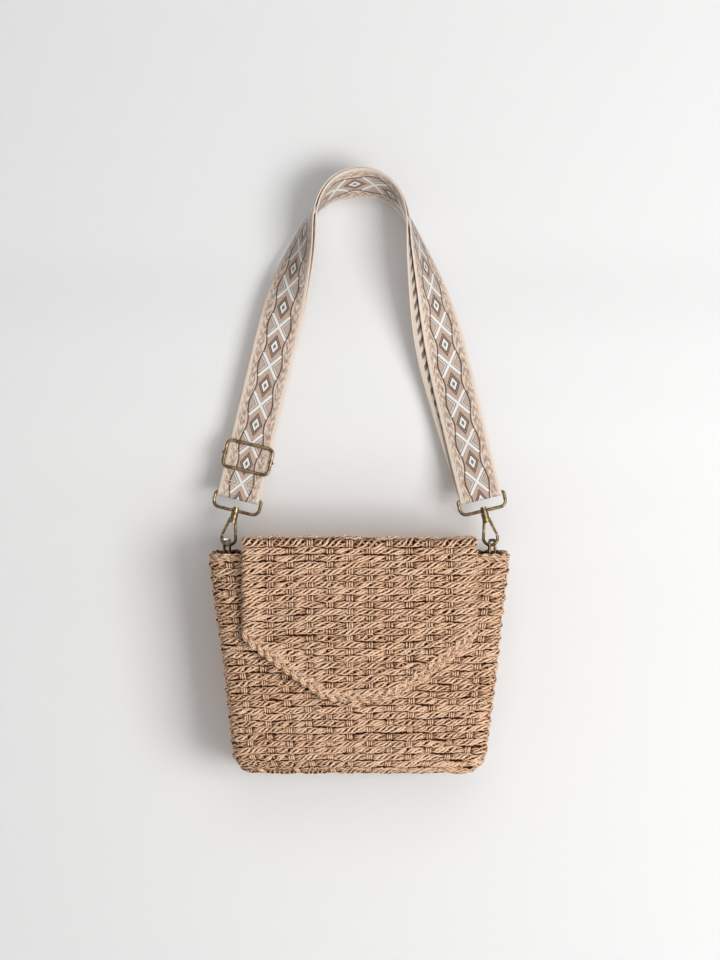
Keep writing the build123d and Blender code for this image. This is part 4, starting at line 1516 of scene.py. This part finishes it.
class PURSE_OT_flap(bpy.types.Operator):
    """Weave the flap over the mouth and down the front, with its plaited border and its lining"""

    bl_idname = "purse.flap"
    bl_label = "Flap"

    def execute(self, context):
        straw, lining = context.scene.straw, context.scene.lining
        cotton = shared("cotton", cloth_finish, lining.cloth, "cotton_lining")
        gap = shared("gap", painted_shade_finish, straw)
        parts = (
            ("flap_top", -SEWN_IN, SPLIT, "bag", "flap_top"),
            ("flap_front", SPLIT, FLAP_END - PLAIT_INSET + 2 * MM, "flap_top", "flap_front"),
        )
        for node, low, high, before, after in parts:
            wefts = cords(f"{node}_wefts", flap_wefts(low, high, 31), straw.strand_radius)
            uprights = cords(f"{node}_uprights", flap_warps(low, high, 41), straw.warp_radius, UPRIGHT_STEP)
            # the dark core sheet is painted shade behind the flap's weave
            core = flap_sheet(f"{node}_core", low + 0.5 * MM, high + 1 * MM, -0.8 * MM, 5 * MM, gap, 0.8 * MM)
            uprights = join(f"{node}_uprights", [uprights, core])
            cloth = flap_sheet(
                f"{node}_cloth", low + 1 * MM, high, -4.5 * MM, CLOTH_INSET, cotton, lining.thickness
            )
            for piece, stands_for, finish in (
                (wefts, node, "straw_weave"),
                (uprights, node, "straw_weave"),
                (cloth, f"{node}_lining", "cotton_lining"),
            ):
                if finish == "cotton_lining":
                    width, area = 2 * (FLAP_HALF - CLOTH_INSET), cloth_area(piece) / 2
                self.bend(piece, before, after)
                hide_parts(stands_for)
            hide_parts(f"{node}_braid")

        lines = plait_lines(flap_border_route(), 3.8 * MM, 1.9 * MM, 28 * MM, 61, thick=1.35 * MM)
        plait = cords("flap_front_plait", lines, 1.15 * MM)
        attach(plait, "flap_front")
        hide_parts("flap_front_braid")
        return {"FINISHED"}

    @staticmethod
    def bend(piece, before, after):
        """Bakes a piece of the flap into its place; the hinge's start and end are worked out but not used."""
        if before == "bag":
            start, end = REAR_HINGE + Vector((0, -2 * MM, -1 * MM)), REAR_HINGE + Vector((0, -8 * MM, 9 * MM))
        else:
            start = Vector((0, FOLD_HINGE.y + 9 * MM, FOLD_HINGE.z + 4 * MM))
            end = Vector((0, FOLD_HINGE.y + 1 * MM, FOLD_HINGE.z - 8 * MM))
        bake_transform(piece)
        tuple(start)
        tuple(end)


class PURSE_OT_lining(bpy.types.Operator):
    """Sew the cotton lining and its slip pocket into the bag"""

    bl_idname = "purse.lining"
    bl_label = "Lining"

    def execute(self, context):
        lining = context.scene.lining
        cotton = shared("cotton", cloth_finish, lining.cloth, "cotton_lining")
        stations = spread(-HALF_LOOP, HALF_LOOP, 5 * MM)[:-1]
        rows = []
        for height in spread(CLOTH_TOP, 10 * MM, 6 * MM):
            rows.append([self.inner(station, height) for station in stations])
        floor = rows[-1]
        for share in (0.985, 0.9, 0.6, 0.25, 0.02):
            depth = 8.4 * MM if share < 0.95 else 9.2 * MM
            rows.append([Vector((point.x * share, point.y * share, depth)) for point in floor])
        cloth = grid_piece("lining_cloth", rows, cotton, closed=True)
        width, area = 2 * HALF_LOOP, cloth_area(cloth)
        thicken(cloth, lining.thickness)
        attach(cloth, "bag")
        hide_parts("lining")
        self.pocket(cotton, lining)
        return {"FINISHED"}

    @staticmethod
    def inner(station, height):
        """A point of the lining, just inside the weave, with soft folds."""
        folds = 0.9 * MM * wobble(bag_point(station, height), 22.0, 13.0)
        return bag_point(station, height, -5.0 * MM + folds * (1 - ease(height, 165 * MM, WALL_TOP)))

    def pocket(self, cotton, lining):
        """The flat pocket on the lining's back, hemmed along its top."""
        low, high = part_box("slip_pocket")
        rows = []
        for z in spread(low.z, high.z, 5 * MM):
            gape = 1.6 * MM * ease(z, low.z, high.z)
            rows.append(
                [
                    Vector((x, high.y - 0.7 * MM - gape * math.cos(math.pi * x / (high.x - low.x)), z))
                    for x in spread(low.x, high.x, 5 * MM)
                ]
            )
        patch = grid_piece("slip_pocket_cloth", rows, cotton)
        patch = thicken(patch, lining.thickness)
        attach(patch, "bag")
        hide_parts("slip_pocket")
        y = high.y - 2.0 * MM
        across = spread(low.x + 3 * MM, high.x - 3 * MM, 8 * MM)
        hem = [Vector((x, y - 1.0 * MM, high.z - 8 * MM)) for x in across]
        edge = 2.5 * MM
        seam = [
            Vector((low.x + edge, y + 1.4 * MM, high.z - edge)),
            Vector((low.x + edge, y + 1.4 * MM, low.z + edge)),
            Vector((high.x - edge, y + 1.4 * MM, low.z + edge)),
            Vector((high.x - edge, y + 1.4 * MM, high.z - edge)),
        ]
        stitches("pocket_stitches", [hem, seam], "bag")


class PURSE_OT_strap(bpy.types.Operator):
    """Run the patterned webbing through its rings, over the crown and back to the slider"""

    bl_idname = "purse.strap"
    bl_label = "Strap"

    def execute(self, context):
        webbing = context.scene.webbing
        finish = shared("webbing", webbing_finish, webbing)
        left_wrap = wrap_sections(-1, BAR_WRAP, TOP_BAR, 0.0)
        right_wrap = wrap_sections(1, BAR_WRAP, TOP_BAR, 0.0)
        start = TOP_BAR + 1 * MM
        tail = []
        for station in spread(TAIL_STATION, start, 2 * MM):
            place = BOW[-1] + up_leg(-1) * station + Vector((0, self.tail_lie(station), 0))
            tail.append((place, -across_leg(-1), Vector((0, 1, 0))))
        route = tail + turned_back(left_wrap)
        route += leg_sections(-1, True, start, CROWN_STATION)
        route += turned_back(leg_sections(1, True, start, CROWN_STATION)[:-1])
        route += right_wrap
        route += self.behind(leg_sections(1, False, start, CROWN_STATION))
        route += self.behind(turned_back(leg_sections(-1, False, SLACK_STATION, CROWN_STATION)[:-1]))
        route = self.consistent(route)
        strap = ribbon("strap_webbing_cloth", route, webbing.width, webbing.thickness, finish)
        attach(strap, "strap")
        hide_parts("strap_webbing")

        wrap_radius = 2.1 * MM
        bar_y = 1.3 * MM
        sewn = []
        for station in spread(SLIDER_STATION + 16 * MM, SLIDER_STATION + 1 * MM, 2.5 * MM):
            place = BOW[-1] + up_leg(-1) * station + Vector((0, bar_y - wrap_radius, 0))
            sewn.append((place, -across_leg(-1), Vector((0, -1, 0))))
        sewn += wrap_sections(-1, wrap_radius, SLIDER_STATION, bar_y)
        sewn += self.behind(leg_sections(-1, False, SLIDER_STATION + 1 * MM, SLACK_STATION + 0.6 * MM))
        end = ribbon("strap_end_cloth", self.consistent(sewn), webbing.width, webbing.thickness, finish)
        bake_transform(end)
        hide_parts("strap_end")
        self.sewing()
        return {"FINISHED"}

    @staticmethod
    def tail_lie(station):
        """How far behind the strap's middle its sewn end lies: it closes on the front layer."""
        closing = ease(station, TOP_BAR + 1 * MM, TAIL_STATION - 3 * MM)
        return BAR_WRAP - (2 * BAR_WRAP - 1.7 * MM) * closing

    @staticmethod
    def behind(sections):
        """Sections of the back layer, whose patterned face looks away from the front layer."""
        return [(place, across, -face) for place, across, face in sections]

    @staticmethod
    def consistent(sections):
        """Keeps every section's across direction on the side it had before, so the ribbon never crosses."""
        kept = [sections[0]]
        for place, across, face in sections[1:]:
            if across.dot(kept[-1][1]) < 0:
                across = -across
            kept.append((place, across, face))
        return kept

    @classmethod
    def sewing(cls):
        """Rows of stitches that close the webbing round its ring and round the slider's bar."""
        proud = 0.78 * MM
        reach = across_leg(-1) * 17 * MM

        def row(station, y):
            here = BOW[-1] + up_leg(-1) * station + Vector((0, y, 0))
            return [here - reach, here + reach]

        rows = []
        for station in (TAIL_STATION - 3 * MM, TAIL_STATION - 6 * MM):
            rows += [row(station, -BAR_WRAP - proud), row(station, cls.tail_lie(station) + proud)]
        stitches("strap_stitches", rows, "strap")
        rows = [
            row(station, BACK_LAYER_Y + proud)
            for station in (SLIDER_STATION + 9 * MM, SLIDER_STATION + 12.5 * MM)
        ]
        stitches("slider_stitches", rows, "slider")


class PURSE_OT_fittings(bpy.types.Operator):
    """Give the rings, hooks, slider and snap their metal, and wrap the D-rings' tabs"""

    bl_idname = "purse.fittings"
    bl_label = "Fittings"

    def execute(self, context):
        metal, lining = context.scene.metal, context.scene.lining
        brass = shared("brass", brass_finish, metal, "antique_brass")
        polished = shared("snap", brass_finish, metal, "snap_brass", 0.12)
        names = ["slider_frame", "slider_bar"]
        for side in SIDES:
            names += [f"{part}_{side}" for part in ("strap_ring", "swivel_post", "snap_hook", "snap_gate")]
            names += [f"gate_rivet_{side}", f"dring_{side}"]
        for name in names:
            self.paint(name, brass)
        for name in ("snap_socket", "snap_socket_washer", "snap_plug"):
            self.paint(name, polished)
        leather = shared("leather", leather_finish, lining.leather)
        for side_name, side in SIDES.items():
            self.tab(side_name, side, leather)
        return {"FINISHED"}

    @staticmethod
    def paint(name, material):
        """Gives a frame node its material in every slot."""
        node = frame["nodes"][name]
        if not node.data.materials:
            node.data.materials.append(material)
        for slot in node.material_slots:
            slot.material = material

    @staticmethod
    def tab(side_name, side, leather):
        """A leather tab folded over a D-ring's straight side."""
        joint = JOINTS[f"dring_{side_name}_tilt"]
        centre, bar = Vector(joint["pos_m"]), Vector(joint["axis"])
        outward = bar.cross(Vector((0, 0, 1)))
        radius = 2.0 * MM
        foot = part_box(f"dring_tab_{side_name}")[0].z + 0.5 * MM
        pressed = 0.75 * MM  # from the tab's middle to the middle of either layer, where they are sewn flat

        def leg(levels, face):
            """One layer below the bar: it opens towards the bar's radius as it rises."""
            layer = []
            for z in levels:
                apart = pressed + (radius - pressed) * ease(z, foot, centre.z) ** 3
                layer.append((Vector((centre.x, centre.y, z)) + face * apart, bar, face))
            return layer

        sections = leg(spread(foot, centre.z - 1 * MM, 2 * MM), outward)
        for degree in range(0, 181, 20):
            turn = math.radians(degree)
            away = outward * math.cos(turn) + Vector((0, 0, 1)) * math.sin(turn)
            sections.append((centre + away * radius, bar, away))
        sections += leg(spread(centre.z - 1 * MM, foot, 2 * MM), -outward)
        tab = ribbon(f"dring_tab_leather_{side_name}", sections, 10 * MM, 1.1 * MM, leather, 6)
        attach(tab, "bag")
        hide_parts(f"dring_tab_{side_name}")


LAMPS = {  # place, target, size, power in watts and tint
    "window": ((1.5, -2.0, -0.2), (0.05, 0.0, 0.25), 1.4, 59.0, (1.0, 0.995, 0.985)),
    "sky": ((0.4, -2.5, 1.6), (0.0, 0.0, 0.2), 2.2, 18.0, (0.985, 0.99, 1.0)),
    "bounce": ((-2.2, -1.6, 0.6), (0.0, 0.0, 0.25), 2.4, 2.0, (1.0, 1.0, 1.0)),
    "rear_window": ((-1.6, 3.2, 0.9), (0.0, 0.0, 0.2), 2.2, 75.0, (1.0, 0.99, 0.97)),
}
ROOM_LIGHT = 0.30  # strength of the light that comes from all round
ROOM_SEEN = 0.78  # strength with which the surroundings are seen


class PURSE_OT_stage(bpy.types.Operator):
    """Set the backdrop, the lights and the camera"""

    bl_idname = "purse.stage"
    bl_label = "Stage"

    def execute(self, context):
        stage = context.scene.purse_stage
        paper = paper_finish(stage.paper)
        wall_y, leg_y, top_y, floor_z = 46 * MM, 14 * MM, 24 * MM, -0.7
        rows = [(top_y, 2.4), (top_y, 0.6)]
        for z in spread(0.5, 0.18, 0.01):
            near = wall_y + (leg_y - wall_y) * ease(z, 0.18, 0.32)
            rows.append((near + (top_y - leg_y) * ease(z, 0.38, 0.48), z))
        rows.append((wall_y, floor_z))
        points = [[Vector((x, y, z)) for x in (-3.5, 3.5)] for y, z in rows]
        backdrop = grid_piece("backdrop", points, paper)
        far = 6.0
        corners = [[Vector((x, y, floor_z)) for x in (-far, far)] for y in (-far, far)]
        ground = grid_piece("ground", corners, floor_finish(stage.paper))
        for sheet in (backdrop, ground):
            self.face_front(sheet)

        for name, light in LAMPS.items():
            self.lamp(name, *light)
        world = bpy.data.worlds.new("room")
        context.scene.world = world
        world.use_nodes = True
        room = world.node_tree
        seen = room.nodes.new("ShaderNodeLightPath").outputs["Is Camera Ray"]
        strength = room.nodes.new("ShaderNodeMapRange")
        strength.inputs["To Min"].default_value = ROOM_LIGHT
        strength.inputs["To Max"].default_value = ROOM_SEEN
        room.links.new(seen, strength.inputs["Value"])
        room.nodes["Background"].inputs[0].default_value = (1.0, 1.0, 1.0, 1.0)
        room.links.new(strength.outputs[0], room.nodes["Background"].inputs[1])

        lens = bpy.data.cameras.new("camera")
        lens.lens = stage.focal
        lens.sensor_width = 36.0
        camera = bpy.data.objects.new("camera", lens)
        context.scene.collection.objects.link(camera)
        subject_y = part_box("front_panel")[0].y - 2 * MM
        distance = stage.frame_height * stage.focal / lens.sensor_width
        camera.location = (0.4 * MM, subject_y - distance, stage.view_height)
        camera.rotation_euler = (math.pi / 2, 0, 0)
        context.scene.camera = camera
        context.scene.view_settings.view_transform = "Standard"
        return {"FINISHED"}

    @staticmethod
    def face_front(sheet):
        """Turns a stage sheet's faces up and towards the viewer."""
        for polygon in sheet.data.polygons:
            if polygon.normal.dot(Vector((0, -1, 1))) < 0:
                polygon.flip()
        sheet.data.update()

    @staticmethod
    def lamp(name, place, target, size, power, tint):
        """A soft square light that faces a target."""
        light = bpy.data.lights.new(name, "AREA")
        light.size = size
        light.energy = power
        light.color = tint
        lamp = bpy.data.objects.new(name, light)
        bpy.context.scene.collection.objects.link(lamp)
        lamp.location = place
        lamp.rotation_euler = (Vector(target) - Vector(place)).to_track_quat("-Z", "Y").to_euler()


class PURSE_PT_panel(bpy.types.Panel):
    """Lists the purse's settings and makers"""

    bl_label = "Crossbody Purse"
    bl_idname = "PURSE_PT_panel"
    bl_space_type = "VIEW_3D"
    bl_region_type = "UI"
    bl_category = "Purse"

    def draw(self, context):
        for group in SETTINGS:
            box = self.layout.box()
            settings = getattr(context.scene, group)
            for key in settings.__annotations__:
                box.prop(settings, key)
        for maker in MAKERS:
            self.layout.operator(maker.bl_idname)


SETTINGS = {
    "straw": StrawSettings,
    "webbing": WebbingSettings,
    "metal": MetalSettings,
    "lining": LiningSettings,
    "purse_stage": StageSettings,
}
MAKERS = (
    PURSE_OT_stage,
    PURSE_OT_walls,
    PURSE_OT_rim,
    PURSE_OT_flap,
    PURSE_OT_lining,
    PURSE_OT_strap,
    PURSE_OT_fittings,
)


def register():
    """Registers the settings, the operators and the panel."""
    for group, settings in SETTINGS.items():
        bpy.utils.register_class(settings)
        setattr(bpy.types.Scene, group, PointerProperty(type=settings))
    for maker in MAKERS:
        bpy.utils.register_class(maker)
    bpy.utils.register_class(PURSE_PT_panel)


def unregister():
    """Takes them away again."""
    bpy.utils.unregister_class(PURSE_PT_panel)
    for maker in reversed(MAKERS):
        bpy.utils.unregister_class(maker)
    for group, settings in SETTINGS.items():
        delattr(bpy.types.Scene, group)
        bpy.utils.unregister_class(settings)


def main():
    """Makes every piece in order."""
    register()
    for maker in MAKERS:
        group, name = maker.bl_idname.split(".")
        getattr(getattr(bpy.ops, group), name)()


if __name__ == "__main__":
    main()
